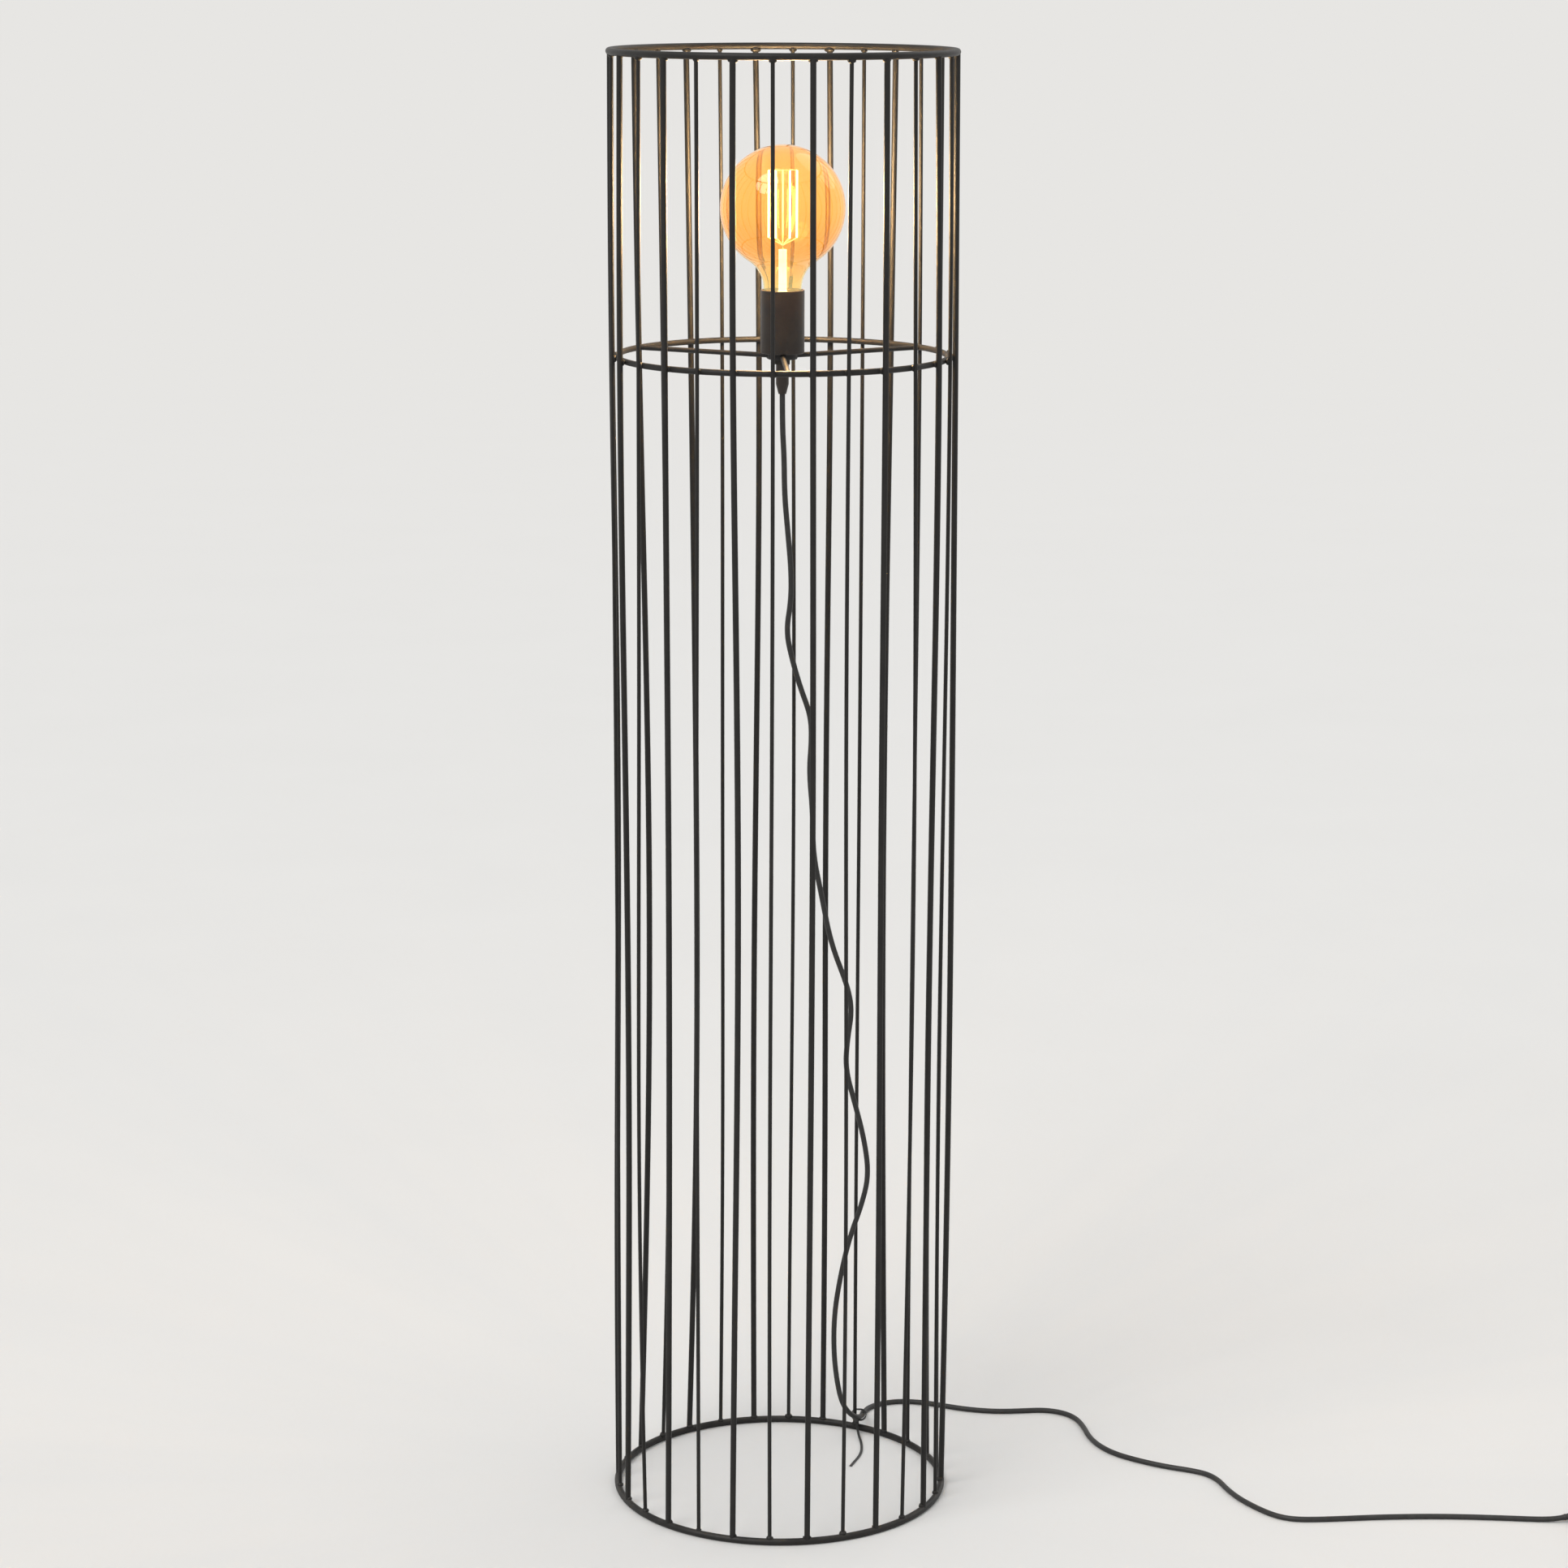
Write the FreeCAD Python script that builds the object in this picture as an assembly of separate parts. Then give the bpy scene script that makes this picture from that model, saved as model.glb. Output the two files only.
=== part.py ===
import FreeCAD, Part

import math
import os

from FreeCAD import Vector

# Wire cage floor lamp, in millimetres. The origin is on the floor, on the axis of the cage.
# +Z is up and -Y is the viewer's side. Angles about the axis run from -Y towards +X.

# Cage
cage_height = 1500.0
cage_diameter = 350.0
end_ring_wire = 7.0
middle_ring_wire = 6.0
middle_ring_drop = 300.0      # from the top ring's centre plane to the middle ring's
thick_rod_wire = 6.0
thin_rod_wire = 4.0
rod_pairs = 14                # each pair is a thick rod and the thin rod that follows it
first_rod_angle = 9.54

# Spider that carries the lampholder
arm_wire = 5.0
arm_count = 3
first_arm_angle = 2.0
hub_diameter = 30.0
hub_thickness = 6.0
edge_break = 0.5              # small chamfer on turned and moulded edges

# Threaded nipple, lock nut and cord grip
nipple_diameter = 10.0
nipple_bore = 7.2
thread_clearance = 0.1
nut_across_flats = 15.0
nut_thickness = 5.0
grip_diameter = 13.0
grip_body_length = 20.0
grip_taper_length = 10.0
grip_mouth_diameter = 8.0
grip_thread_depth = 9.5
nipple_in_grip = 8.0
nipple_end_gap = 0.5

# Lampholder for an Edison screw base of 27 mm
holder_diameter = 44.0
holder_height = 63.0
holder_wall = 1.6
dome_height = 22.0
dome_floor = 3.0
boss_diameter = 18.0
boss_height = 9.0
spigot_height = 5.0
spigot_wall = 1.4
fit_gap = 0.1                 # between pieces that sit inside one another
core_diameter = 35.6
core_wiring_bore = 9.0
core_wiring_depth = 6.0
flange_thickness = 3.0
ledge_thickness = 2.0
ledge_bore = 32.0
terminal_count = 2
terminal_thread = 3.0
terminal_length = 8.0
terminal_head = 6.0
terminal_head_height = 1.8
terminal_slot = 0.8
contact_tab_length = 16.0
contact_tab_width = 7.0
contact_tab_thickness = 0.5
contact_tab_rise = 0.5

# Edison screw thread, shared by the lampholder and the bulb
screw_pitch = 3.629
screw_sheet = 0.4             # wall of both screw shells
shell_bore = 26.8
shell_height = 21.0
shell_lip_bore = 20.0
shell_bead = 1.9              # diameter of the rolled thread that stands into the bore
shell_bead_turns = 4.5
cap_tube_diameter = 24.1
cap_bead = 2.0                # diameter of the rolled thread that stands out of the cap
cap_bead_turns = 4.0
bead_inset = 0.05             # how far a bead's centre lies inside its tube's surface

# Bulb
bulb_diameter = 125.0
bulb_length = 175.0
bulb_gap = 0.3                # between the bulb's contact and the lampholder's
glass_wall = 1.0
neck_diameter = 38.0
neck_rise = 6.4               # from the rim of the cap to the hollow curve that joins the globe
cap_length = 26.5
cap_rim_diameter = 26.4
cap_rim_height = 3.0
cap_foot_diameter = 18.8
cap_foot_height = 2.0
cap_contact_diameter = 9.0
cap_contact_thickness = 1.2
cap_contact_edge = 0.4
cap_insulator_height = 3.0
cap_insulator_foot = 11.0
stem_diameter = 8.0
stem_height = 48.0
stem_flare_height = 1.2
stem_flare_radius = 7.0
filament_count = 6
filament_diameter = 1.8
filament_length = 66.0
filament_circle = 28.0
filament_lift = 12.0          # from the top of the stem to the foot of the filaments
support_wire = 1.0
support_post = 1.6            # diameter of the post that carries the wires
support_root = 4.0            # from the top of the stem to where the lower wires leave the post

# Mains cord
cord_diameter = 5.6
gland_gap = 0.2               # between the cord and the hole that it passes through
bend_share = 0.45             # part of a straight run that the bend at each of its ends takes
coil_turn_circle = 62.0       # across the middle of the turns
coil_layers = 2
coil_columns = 2
coil_edge = 2.0

# The route of the cord from the cord grip to the foot switch
lamp_cord_route = [
    (0, 0, 1173), (0, 0.5, 1118), (1, 1, 1050), (4, 3, 976), (9, 8, 912), (18, 13, 854),
    (28, 18, 790), (33, 23, 725), (37, 30, 660), (48, 38, 600), (64, 46, 544), (72, 53, 492),
    (73, 59, 440), (84, 67, 384), (92, 74, 332), (89, 80, 286), (77, 88, 230), (66, 96, 172),
    (61, 102, 118), (60.5, 108, 74), (66, 114, 46.5), (75, 120.8, 31), (83, 130, 22),
    (89.3, 142, 17.5), (91.8, 156, 17), (91.5, 170, 11.6), (92, 181.3, 5.2), (93.3, 193, 2.8),
    (98, 206, 2.8), (108, 217, 2.8), (122, 225, 2.8), (140, 228, 2.8), (162, 224, 2.8),
    (186, 213, 2.8), (212, 202.5, 2.8), (242, 197, 2.8), (270, 199.5, 2.8), (290, 202, 2.8),
    (306.5, 198.5, 2.8), (320.5, 188.5, 2.8), (329.5, 173, 2.8), (335, 149.5, 2.8), (338, 124, 2.8),
    (346, 98, 2.8), (362, 73, 2.8), (386, 53.5, 2.8), (414, 36.5, 2.8), (440, 26, 2.8),
    (457, 15.5, 2.8), (467, -2, 2.8), (473, -26, 2.8), (483, -52, 2.8), (499, -78, 2.8),
    (515, -97.5, 2.8), (531, -106.5, 2.8), (551, -108, 2.8), (585, -105, 2.8), (630, -100, 2.8),
    (690, -98, 2.8), (750, -102, 2.8), (795, -106.5, 2.8), (812, -106.8, 4.9), (828, -106, 8),
    (844, -106.1, 8),
]

# From the foot switch to the coil, and from the coil to the plug
coil_lead_route = [
    (912, -106, 8), (926, -106.1, 8), (939.5, -110, 6.4), (951, -119.5, 4.4),
    (958.5, -133, 2.8), (960.8, -150.5, 2.8), (959.8, -168.3, 2.8),
]
plug_lead_route = [(905.5, -221.8, 8.4), (898, -221.9, 7.5), (889, -222, 6.9), (877, -222, 6.85)]
coil_centre = (926, -188)

# Cable tie that holds the cord to the nearest thin rod
tied_rod = 6                  # which thin rod, counted like its node
tie_width = 2.6
tie_thickness = 1.0
tie_slack = 1.2
tie_height = 17.2
tie_cord_offset = 7.8         # from the rod's axis to the cord's
tie_head_size = (5.0, 4.2, 3.6)
tie_head_offset = -2.5        # along the loop, from its middle towards the rod
tie_tail_height = 0.9         # of the tail's middle where it lies on the floor
tie_tail_steps = [            # across and along the floor from the head, with the height left to fall
    (0, 0, 1), (0.6, -9.4, 0.57), (2.2, -21.4, 0.14), (4.2, -33.4, 0), (4.8, -47.4, 0),
    (4.2, -62.4, 0), (1.2, -77.4, 0), (-3.8, -91.4, 0), (-8.3, -104.4, 0),
]

# Foot switch
switch_start = (836.0, -106.0)
switch_length = 84.0
switch_width = 42.0
switch_height = 22.0
switch_corner = 17.0
switch_wall = 2.0
switch_floor = 2.5
switch_seam = 8.0             # height of the joint between base and cover, and of the cord
switch_top_round = 6.0
button_diameter = 26.0
button_gap = 0.3
button_proud = 4.0
button_wall = 2.0
button_flange = 1.6
button_flange_height = 1.5
button_round = 1.5
spring_circle = 10.0
spring_wire = 1.0
spring_turns = 6
spring_guide = 7.0
spring_guide_height = 6.0

# Flat two-pin plug
plug_front = (832.0, -222.0)
plug_width = 34.6
plug_rear_width = 13.0
plug_thickness = 13.7
plug_straight = 12.0
plug_length = 34.0
plug_round = 2.5
relief_length = 18.0
relief_root_diameter = 11.0
relief_end_diameter = 7.6
relief_bore_depth = 14.0
pin_spacing = 18.6
pin_diameter = 4.0
pin_length = 19.0
pin_root_length = 8.0         # the thicker end that is moulded into the body
pin_root_diameter = 5.0

# Heights and radii that follow
end_ring_radius = (cage_diameter - end_ring_wire) / 2
base_ring_z = end_ring_wire / 2
top_ring_z = cage_height - end_ring_wire / 2
middle_ring_z = top_ring_z - middle_ring_drop
middle_ring_radius = end_ring_radius - thick_rod_wire / 2 - middle_ring_wire / 2
thin_rod_radius = middle_ring_radius + middle_ring_wire / 2 + thin_rod_wire / 2
hub_foot = middle_ring_z - hub_thickness / 2
hub_top = middle_ring_z + hub_thickness / 2
nut_foot = hub_foot - nut_thickness
grip_mouth = nut_foot - grip_body_length - grip_taper_length
boss_top = hub_top + dome_floor + boss_height
dome_top = hub_top + dome_height
spigot_top = dome_top + spigot_height
flange_top = spigot_top + flange_thickness
skirt_bore = holder_diameter - 2 * holder_wall
shell_foot = flange_top
contact_top = flange_top + contact_tab_rise + contact_tab_thickness
bulb_foot = contact_top + bulb_gap
globe_centre = bulb_foot + bulb_length - bulb_diameter / 2
cap_rim_z = bulb_foot + cap_length
cap_shell_foot = bulb_foot + cap_contact_thickness + cap_insulator_height
glass_seat_diameter = cap_rim_diameter - 2 * screw_sheet - 2 * fit_gap
glass_foot = cap_rim_z - cap_rim_height + fit_gap
stem_foot = glass_foot
stem_top = stem_foot + stem_height
filament_foot = stem_top + filament_lift
cord_bore = cord_diameter + 2 * gland_gap
up = Vector(0, 0, 1)


def about_axis(radius, angle, z):
    """A point at that angle about the cage's axis."""
    turn = math.radians(angle)
    return Vector(radius * math.sin(turn), -radius * math.cos(turn), z)


def disc(diameter, foot, top, centre=(0, 0)):
    """An upright round bar between two heights."""
    return Part.makeCylinder(diameter / 2, top - foot, Vector(centre[0], centre[1], foot))


def tube(outer, inner, foot, top, centre=(0, 0)):
    """An upright tube between two heights."""
    return disc(outer, foot, top, centre).cut(disc(inner, foot, top, centre))


def bar(start, end, diameter):
    """A straight round bar from one point to another."""
    along = end - start
    return Part.makeCylinder(diameter / 2, along.Length, start, along)


def turned(edges):
    """A solid turned about the Z axis from a closed outline in the XZ plane."""
    face = Part.Face(Part.Wire(Part.__sortEdges__(edges)))
    return face.revolve(Vector(0, 0, 0), up, 360)


def outline_points(points):
    """Straight edges through points given as (radius, height)."""
    corners = [Vector(radius, 0, height) for radius, height in points]
    return [Part.makeLine(a, b) for a, b in zip(corners, corners[1:])]


def arc(start, middle, end):
    """An arc edge through three points given as (radius, height)."""
    ends = [Vector(radius, 0, height) for radius, height in (start, middle, end)]
    return Part.Arc(*ends).toShape()


def turned_polygon(points):
    """A turned solid with straight sides."""
    return turned(outline_points(points + points[:1]))


def wire_ring(radius, wire, z):
    """A closed ring of round wire."""
    return Part.makeTorus(radius, wire / 2, Vector(0, 0, z))


def rounded_plate(length, width, corner, foot, height, centre):
    """An upright plate with its length along X and four rounded corners."""
    box = Part.makeBox(
        length, width, height, Vector(centre[0] - length / 2, centre[1] - width / 2, foot)
    )
    upright = [e for e in box.Edges if abs(e.tangentAt(e.FirstParameter).z) > 0.5]
    return box.makeFillet(corner, upright)


def edges_at(shape, z):
    """The edges of a shape that lie in the plane at that height."""
    return [e for e in shape.Edges if abs(e.BoundBox.ZMin - z) + abs(e.BoundBox.ZMax - z) < 1e-4]


def rounded_path(route):
    """Straight runs through the points of a route, joined by the largest arcs that fit."""
    points = [Vector(*p) for p in route]
    edges = []
    radii = []
    last = points[0]
    for before, corner, after in zip(points, points[1:], points[2:]):
        inward = (corner - before).normalize()
        outward = (after - corner).normalize()
        half_turn = inward.getAngle(outward) / 2
        reach = bend_share * min((corner - before).Length, (after - corner).Length)
        radius = reach / math.tan(half_turn)
        start = corner - inward * reach
        end = corner + outward * reach
        to_centre = (outward - inward).normalize()
        middle = corner + to_centre * (radius / math.cos(half_turn) - radius)
        edges.append(Part.makeLine(last, start))
        edges.append(Part.Arc(start, middle, end).toShape())
        radii.append(radius)
        last = end
    edges.append(Part.makeLine(last, points[-1]))
    return Part.Wire(edges), radii


def swept_cord(name, route):
    """A round cord along a route. Its tightest bends and its length are printed."""
    path, radii = rounded_path(route)
    first_run = Vector(*route[1]) - Vector(*route[0])
    circle = Part.makeCircle(cord_diameter / 2, Vector(*route[0]), first_run)
    cord = path.makePipeShell([Part.Wire([circle])], True, True)
    expected = path.Length * math.pi * cord_diameter ** 2 / 4
    tightest = ", ".join(f"{radius:.0f}" for radius in sorted(radii)[:4])
    print(f"{name}: {path.Length:.0f} mm long, tightest radii {tightest}")
    print(f"  volume over section times length: {cord.Volume / expected:.4f}")
    return cord


def helical_bead(radius, bead, foot, turns):
    """A rolled thread: a round bead along a helix about the axis."""
    helix = Part.makeHelix(screw_pitch, screw_pitch * turns, radius)
    circle = Part.makeCircle(bead / 2, Vector(radius, 0, 0), Vector(0, 1, 0))
    thread = Part.Wire(helix.Edges).makePipeShell([Part.Wire([circle])], True, True)
    thread.translate(Vector(0, 0, foot))
    return thread


# Cage


def top_ring():
    return wire_ring(end_ring_radius, end_ring_wire, top_ring_z)


def middle_ring():
    return wire_ring(middle_ring_radius, middle_ring_wire, middle_ring_z)


def base_ring():
    return wire_ring(end_ring_radius, end_ring_wire, base_ring_z)


def cage_rod(radius, wire, angle):
    """An upright rod with both ends hollowed to the wire of the end rings."""
    rod = bar(about_axis(radius, angle, base_ring_z), about_axis(radius, angle, top_ring_z), wire)
    return rod.cut(top_ring()).cut(base_ring())


def cage_rods():
    """The thick and thin rods, alternating around the cage."""
    rods = {}
    for pair in range(rod_pairs):
        angle = first_rod_angle + pair * 360 / rod_pairs
        half_step = 180 / rod_pairs
        number = f"{pair + 1:02d}"
        rods["thick_rod_" + number] = cage_rod(end_ring_radius, thick_rod_wire, angle)
        rods["thin_rod_" + number] = cage_rod(thin_rod_radius, thin_rod_wire, angle + half_step)
    return rods


def spider_arms():
    """Straight arms from the hub's rim to the inside of the middle ring."""
    whole_hub = disc(hub_diameter, hub_foot, hub_top)
    arms = []
    for number in range(arm_count):
        angle = first_arm_angle + number * 360 / arm_count
        end = about_axis(middle_ring_radius, angle, middle_ring_z)
        arm = bar(Vector(0, 0, middle_ring_z), end, arm_wire)
        arms.append(arm.cut(whole_hub).cut(middle_ring()))
    return Part.makeCompound(arms)


def spider_hub():
    hub = disc(hub_diameter, hub_foot, hub_top)
    hub = hub.makeChamfer(edge_break, edges_at(hub, hub_foot) + edges_at(hub, hub_top))
    return hub.cut(disc(nipple_diameter + 2 * thread_clearance, hub_foot, hub_top))


# Nipple, nut and cord grip


def threaded_nipple():
    return tube(nipple_diameter, nipple_bore, nut_foot - nipple_in_grip, boss_top - nipple_end_gap)


def lock_nut():
    corner = nut_across_flats / 2 / math.cos(math.pi / 6)
    corners = [about_axis(corner, 60 * side, nut_foot) for side in range(7)]
    nut = Part.Face(Part.makePolygon(corners)).extrude(Vector(0, 0, nut_thickness))
    return nut.cut(disc(nipple_diameter + 2 * thread_clearance, nut_foot, hub_foot))


def cord_grip():
    """A sleeve that screws onto the nipple and narrows to the cord."""
    shoulder = nut_foot - grip_body_length
    seat = nut_foot - grip_thread_depth
    bore = nipple_diameter / 2 + thread_clearance
    return turned_polygon([
        (cord_bore / 2, grip_mouth),
        (grip_mouth_diameter / 2, grip_mouth),
        (grip_diameter / 2, shoulder),
        (grip_diameter / 2, nut_foot),
        (bore, nut_foot),
        (bore, seat),
        (cord_bore / 2, seat),
    ])


# Lampholder


def holder_dome():
    """The lower cup: a floor with a threaded boss, a wall and a spigot for the skirt."""
    outside = holder_diameter / 2
    inside = skirt_bore / 2
    spigot = inside - fit_gap
    return turned_polygon([
        (nipple_diameter / 2 + thread_clearance, hub_top),
        (outside - edge_break, hub_top),
        (outside, hub_top + edge_break),
        (outside, dome_top),
        (spigot, dome_top),
        (spigot, spigot_top),
        (spigot - spigot_wall, spigot_top),
        (spigot - spigot_wall, dome_top - spigot_wall),
        (inside, dome_top - 2 * spigot_wall),
        (inside, hub_top + dome_floor),
        (boss_diameter / 2, hub_top + dome_floor),
        (boss_diameter / 2, boss_top),
        (nipple_diameter / 2 + thread_clearance, boss_top),
    ])


def holder_skirt():
    """The upper sleeve, with the ledge that presses the insulator onto the dome."""
    outside = holder_diameter / 2
    inside = skirt_bore / 2
    top = hub_top + holder_height
    return turned_polygon([
        (inside, dome_top),
        (outside, dome_top),
        (outside, top - edge_break),
        (outside - edge_break, top),
        (inside, top),
        (inside, flange_top + ledge_thickness),
        (ledge_bore / 2, flange_top + ledge_thickness),
        (ledge_bore / 2, flange_top),
        (inside, flange_top),
    ])


def terminal_angle(number):
    return 90 + number * 360 / terminal_count


def terminal_height():
    return (boss_top + dome_top - 2 * spigot_wall) / 2


def holder_insulator():
    """The core that carries the screw shell above and the terminals at its sides."""
    core = disc(core_diameter, boss_top, spigot_top)
    flange = disc(skirt_bore - 2 * fit_gap, spigot_top, flange_top)
    body = core.fuse(flange).removeSplitter()
    body = body.cut(disc(core_wiring_bore, boss_top, boss_top + core_wiring_depth))
    z = terminal_height()
    for number in range(terminal_count):
        outer = about_axis(core_diameter / 2, terminal_angle(number), z)
        inner = about_axis(core_diameter / 2 - terminal_length, terminal_angle(number), z)
        body = body.cut(bar(outer, inner, terminal_thread + 2 * thread_clearance))
    return body


def terminal_screws():
    """Slotted screws that clamp the conductors to the core."""
    screws = []
    z = terminal_height()
    for number in range(terminal_count):
        angle = terminal_angle(number)
        face = about_axis(core_diameter / 2, angle, z)
        outward = about_axis(1, angle, 0)
        shank = bar(face - outward * terminal_length, face, terminal_thread)
        head_top = face + outward * terminal_head_height
        screw = shank.fuse(bar(face, head_top, terminal_head)).removeSplitter()
        slot = Part.makeBox(
            terminal_head, terminal_slot, terminal_head_height,
            Vector(-terminal_head / 2, -terminal_slot / 2, terminal_head_height / 2),
        )
        slot.Placement = FreeCAD.Placement(face, FreeCAD.Rotation(up, outward))
        screws.append(screw.cut(slot))
    return Part.makeCompound(screws)


def holder_screw_shell():
    """The sheet metal shell with the inner thread, riveted to the core by its lip."""
    outside = shell_bore / 2 + screw_sheet
    shell = turned_polygon([
        (shell_lip_bore / 2, shell_foot),
        (outside, shell_foot),
        (outside, shell_foot + shell_height),
        (shell_bore / 2, shell_foot + shell_height),
        (shell_bore / 2, shell_foot + screw_sheet),
        (shell_lip_bore / 2, shell_foot + screw_sheet),
    ])
    centre_line = shell_bore / 2 + bead_inset
    bead = helical_bead(centre_line, shell_bead, shell_bead_foot(), shell_bead_turns)
    bead = bead.common(disc(shell_bore + screw_sheet, shell_foot, shell_foot + shell_height))
    return shell.fuse(bead)


def shell_bead_foot():
    return cap_bead_foot() - screw_pitch / 2


def cap_bead_foot():
    return cap_shell_foot + cap_foot_height + cap_bead / 2


def holder_centre_contact():
    """A sprung tab that the bulb's contact presses on."""
    half = contact_tab_length / 2
    foot = flange_top
    raised = foot + contact_tab_rise
    left = [(-half, foot), (-half / 2, foot), (-half / 4, raised)]
    right = [(-x, z) for x, z in reversed(left)]
    under = left + right
    over = [(x, z + contact_tab_thickness) for x, z in reversed(under)]
    corners = [Vector(x, -contact_tab_width / 2, z) for x, z in under + over + under[:1]]
    return Part.Face(Part.makePolygon(corners)).extrude(Vector(0, contact_tab_width, 0))


# Bulb


def neck_bend():
    """Radius of the hollow curve that touches both the neck and the globe."""
    globe = bulb_diameter / 2
    neck = neck_diameter / 2
    height = globe_centre - cap_rim_z - neck_rise
    return (height ** 2 + neck ** 2 - globe ** 2) / (2 * (globe - neck))


def globe_outline(inset):
    """One side of the glass from the seat up to the crown, as a list of edges and its ends."""
    globe = bulb_diameter / 2 - inset
    neck = neck_diameter / 2 - inset
    bend = neck_bend() + inset
    seat = glass_seat_diameter / 2 - inset
    across = neck_diameter / 2 + neck_bend()
    bend_z = cap_rim_z + neck_rise
    low = math.atan2(globe_centre - bend_z, across)
    middle = (math.pi / 2 - low) / 2
    shoulder = cap_rim_z + fit_gap + inset
    join = (globe * math.cos(low), globe_centre - globe * math.sin(low))
    bend_middle = (across - bend * math.cos(low / 2), bend_z + bend * math.sin(low / 2))
    rise = bend_z - shoulder
    sweep = math.sin(math.pi / 4)
    swell = (seat + (neck - seat) * sweep, shoulder + rise * (1 - sweep))
    edges = outline_points([(seat, glass_foot), (seat, shoulder)])
    edges.append(arc((seat, shoulder), swell, (neck, bend_z)))
    edges.append(arc((neck, bend_z), bend_middle, join))
    globe_middle = (globe * math.cos(middle), globe_centre + globe * math.sin(middle))
    edges.append(arc(join, globe_middle, (0, globe_centre + globe)))
    return edges, (seat, glass_foot), (0, globe_centre + globe)


def bulb_globe():
    """The glass envelope: a globe on a neck that fits into the cap."""
    outside, outer_foot, outer_crown = globe_outline(0)
    inside, inner_foot, inner_crown = globe_outline(glass_wall)
    closing = outline_points([outer_foot, inner_foot]) + outline_points([inner_crown, outer_crown])
    return turned(outside + inside + closing)


def bulb_stem():
    """The glass foot and column that carry the filaments."""
    flare = glass_seat_diameter / 2 - glass_wall - fit_gap
    column = stem_diameter / 2
    flare_top = stem_foot + stem_flare_height
    bend_top = flare_top + stem_flare_radius
    sweep = math.sin(math.pi / 4)
    bend_middle = (flare - (flare - column) * sweep, bend_top - stem_flare_radius * sweep)
    edges = outline_points([(0, stem_foot), (flare, stem_foot), (flare, flare_top)])
    edges.append(arc((flare, flare_top), bend_middle, (column, bend_top)))
    edges += outline_points([(column, bend_top), (column, stem_top), (0, stem_top), (0, stem_foot)])
    return turned(edges)


def filament_place(number):
    angle = (number + 0.5) * 360 / filament_count
    return about_axis(filament_circle / 2, angle, filament_foot)


def bulb_filaments():
    """Upright glowing rods, spaced around the axis."""
    rise = Vector(0, 0, filament_length)
    rods = []
    for number in range(filament_count):
        foot = filament_place(number)
        rods.append(bar(foot, foot + rise, filament_diameter))
    return Part.makeCompound(rods)


def filament_supports():
    """The centre post with a wire to each end of every filament."""
    crown_z = filament_foot + filament_length + support_wire / 2
    foot_z = filament_foot - support_wire / 2
    wires = []
    for number in range(filament_count):
        foot = filament_place(number)
        upper = Vector(foot.x, foot.y, crown_z)
        lower = Vector(foot.x, foot.y, foot_z)
        wires.append(bar(Vector(0, 0, crown_z), upper, support_wire))
        wires.append(bar(Vector(0, 0, stem_top + support_root), lower, support_wire))
        wires.append(Part.makeSphere(support_wire / 2, lower))
    post = bar(Vector(0, 0, stem_top), Vector(0, 0, crown_z + support_wire / 2), support_post)
    frame = post.multiFuse(wires)
    return frame.cut(bulb_filaments()).removeSplitter()


def bulb_cap():
    """The screw cap of sheet metal, flared at the rim to hold the glass."""
    tube_radius = cap_tube_diameter / 2
    rim_radius = cap_rim_diameter / 2
    foot_radius = cap_foot_diameter / 2
    rim_foot = cap_rim_z - cap_rim_height
    shell = turned_polygon([
        (foot_radius, cap_shell_foot),
        (tube_radius, cap_shell_foot + cap_foot_height),
        (tube_radius, rim_foot - screw_sheet),
        (rim_radius, rim_foot),
        (rim_radius, cap_rim_z),
        (rim_radius - screw_sheet, cap_rim_z),
        (rim_radius - screw_sheet, rim_foot),
        (tube_radius - screw_sheet, rim_foot - screw_sheet),
        (tube_radius - screw_sheet, cap_shell_foot + cap_foot_height),
        (foot_radius - screw_sheet, cap_shell_foot),
    ])
    bead = helical_bead(tube_radius - bead_inset, cap_bead, cap_bead_foot(), cap_bead_turns)
    bead = bead.cut(disc(cap_tube_diameter - screw_sheet, cap_shell_foot, cap_rim_z))
    return shell.fuse(bead)


def cap_insulator():
    """The glassy cone between the cap and its centre contact."""
    foot = bulb_foot + cap_contact_thickness
    top = cap_shell_foot
    top_radius = cap_foot_diameter / 2 - screw_sheet
    return turned_polygon([(0, foot), (cap_insulator_foot / 2, foot), (top_radius, top), (0, top)])


def cap_contact():
    foot = bulb_foot
    top = bulb_foot + cap_contact_thickness
    contact = disc(cap_contact_diameter, foot, top)
    return contact.makeChamfer(cap_contact_edge, edges_at(contact, foot))


# Cord, coil and tie


def cord_coil():
    """The outer shape of the wound cord: a ring of turns side by side and on each other."""
    width = coil_columns * cord_diameter
    height = coil_layers * cord_diameter
    ring = tube(coil_turn_circle + width, coil_turn_circle - width, 0, height, coil_centre)
    return ring.makeFillet(coil_edge, edges_at(ring, 0) + edges_at(ring, height))


def tie_frame():
    """The middle of the tie's loop, the directions across it and down it, and half its width."""
    angle = first_rod_angle + (tied_rod - 1) * 360 / rod_pairs + 180 / rod_pairs
    rod = about_axis(thin_rod_radius, angle, tie_height)
    left = rod.x - thin_rod_wire / 2
    right = rod.x + tie_cord_offset + cord_diameter / 2
    middle = Vector((left + right) / 2, rod.y, tie_height)
    across = Vector(1, 0, 0)
    forward = Vector(0, -1, -1).normalize()
    return middle, across, forward, (right - left) / 2


def racetrack(half_length, radius, middle, across, forward):
    """A closed outline of two straight sides and two half circles."""
    run = half_length - radius
    corners = ((-1, -1), (1, -1), (1, 1), (-1, 1))
    sides = [middle + across * (x * run) + forward * (y * radius) for x, y in corners]
    right_end = middle + across * half_length
    left_end = middle - across * half_length
    edges = [
        Part.makeLine(sides[0], sides[1]),
        Part.Arc(sides[1], right_end, sides[2]).toShape(),
        Part.makeLine(sides[2], sides[3]),
        Part.Arc(sides[3], left_end, sides[0]).toShape(),
    ]
    return Part.Face(Part.Wire(edges))


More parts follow.
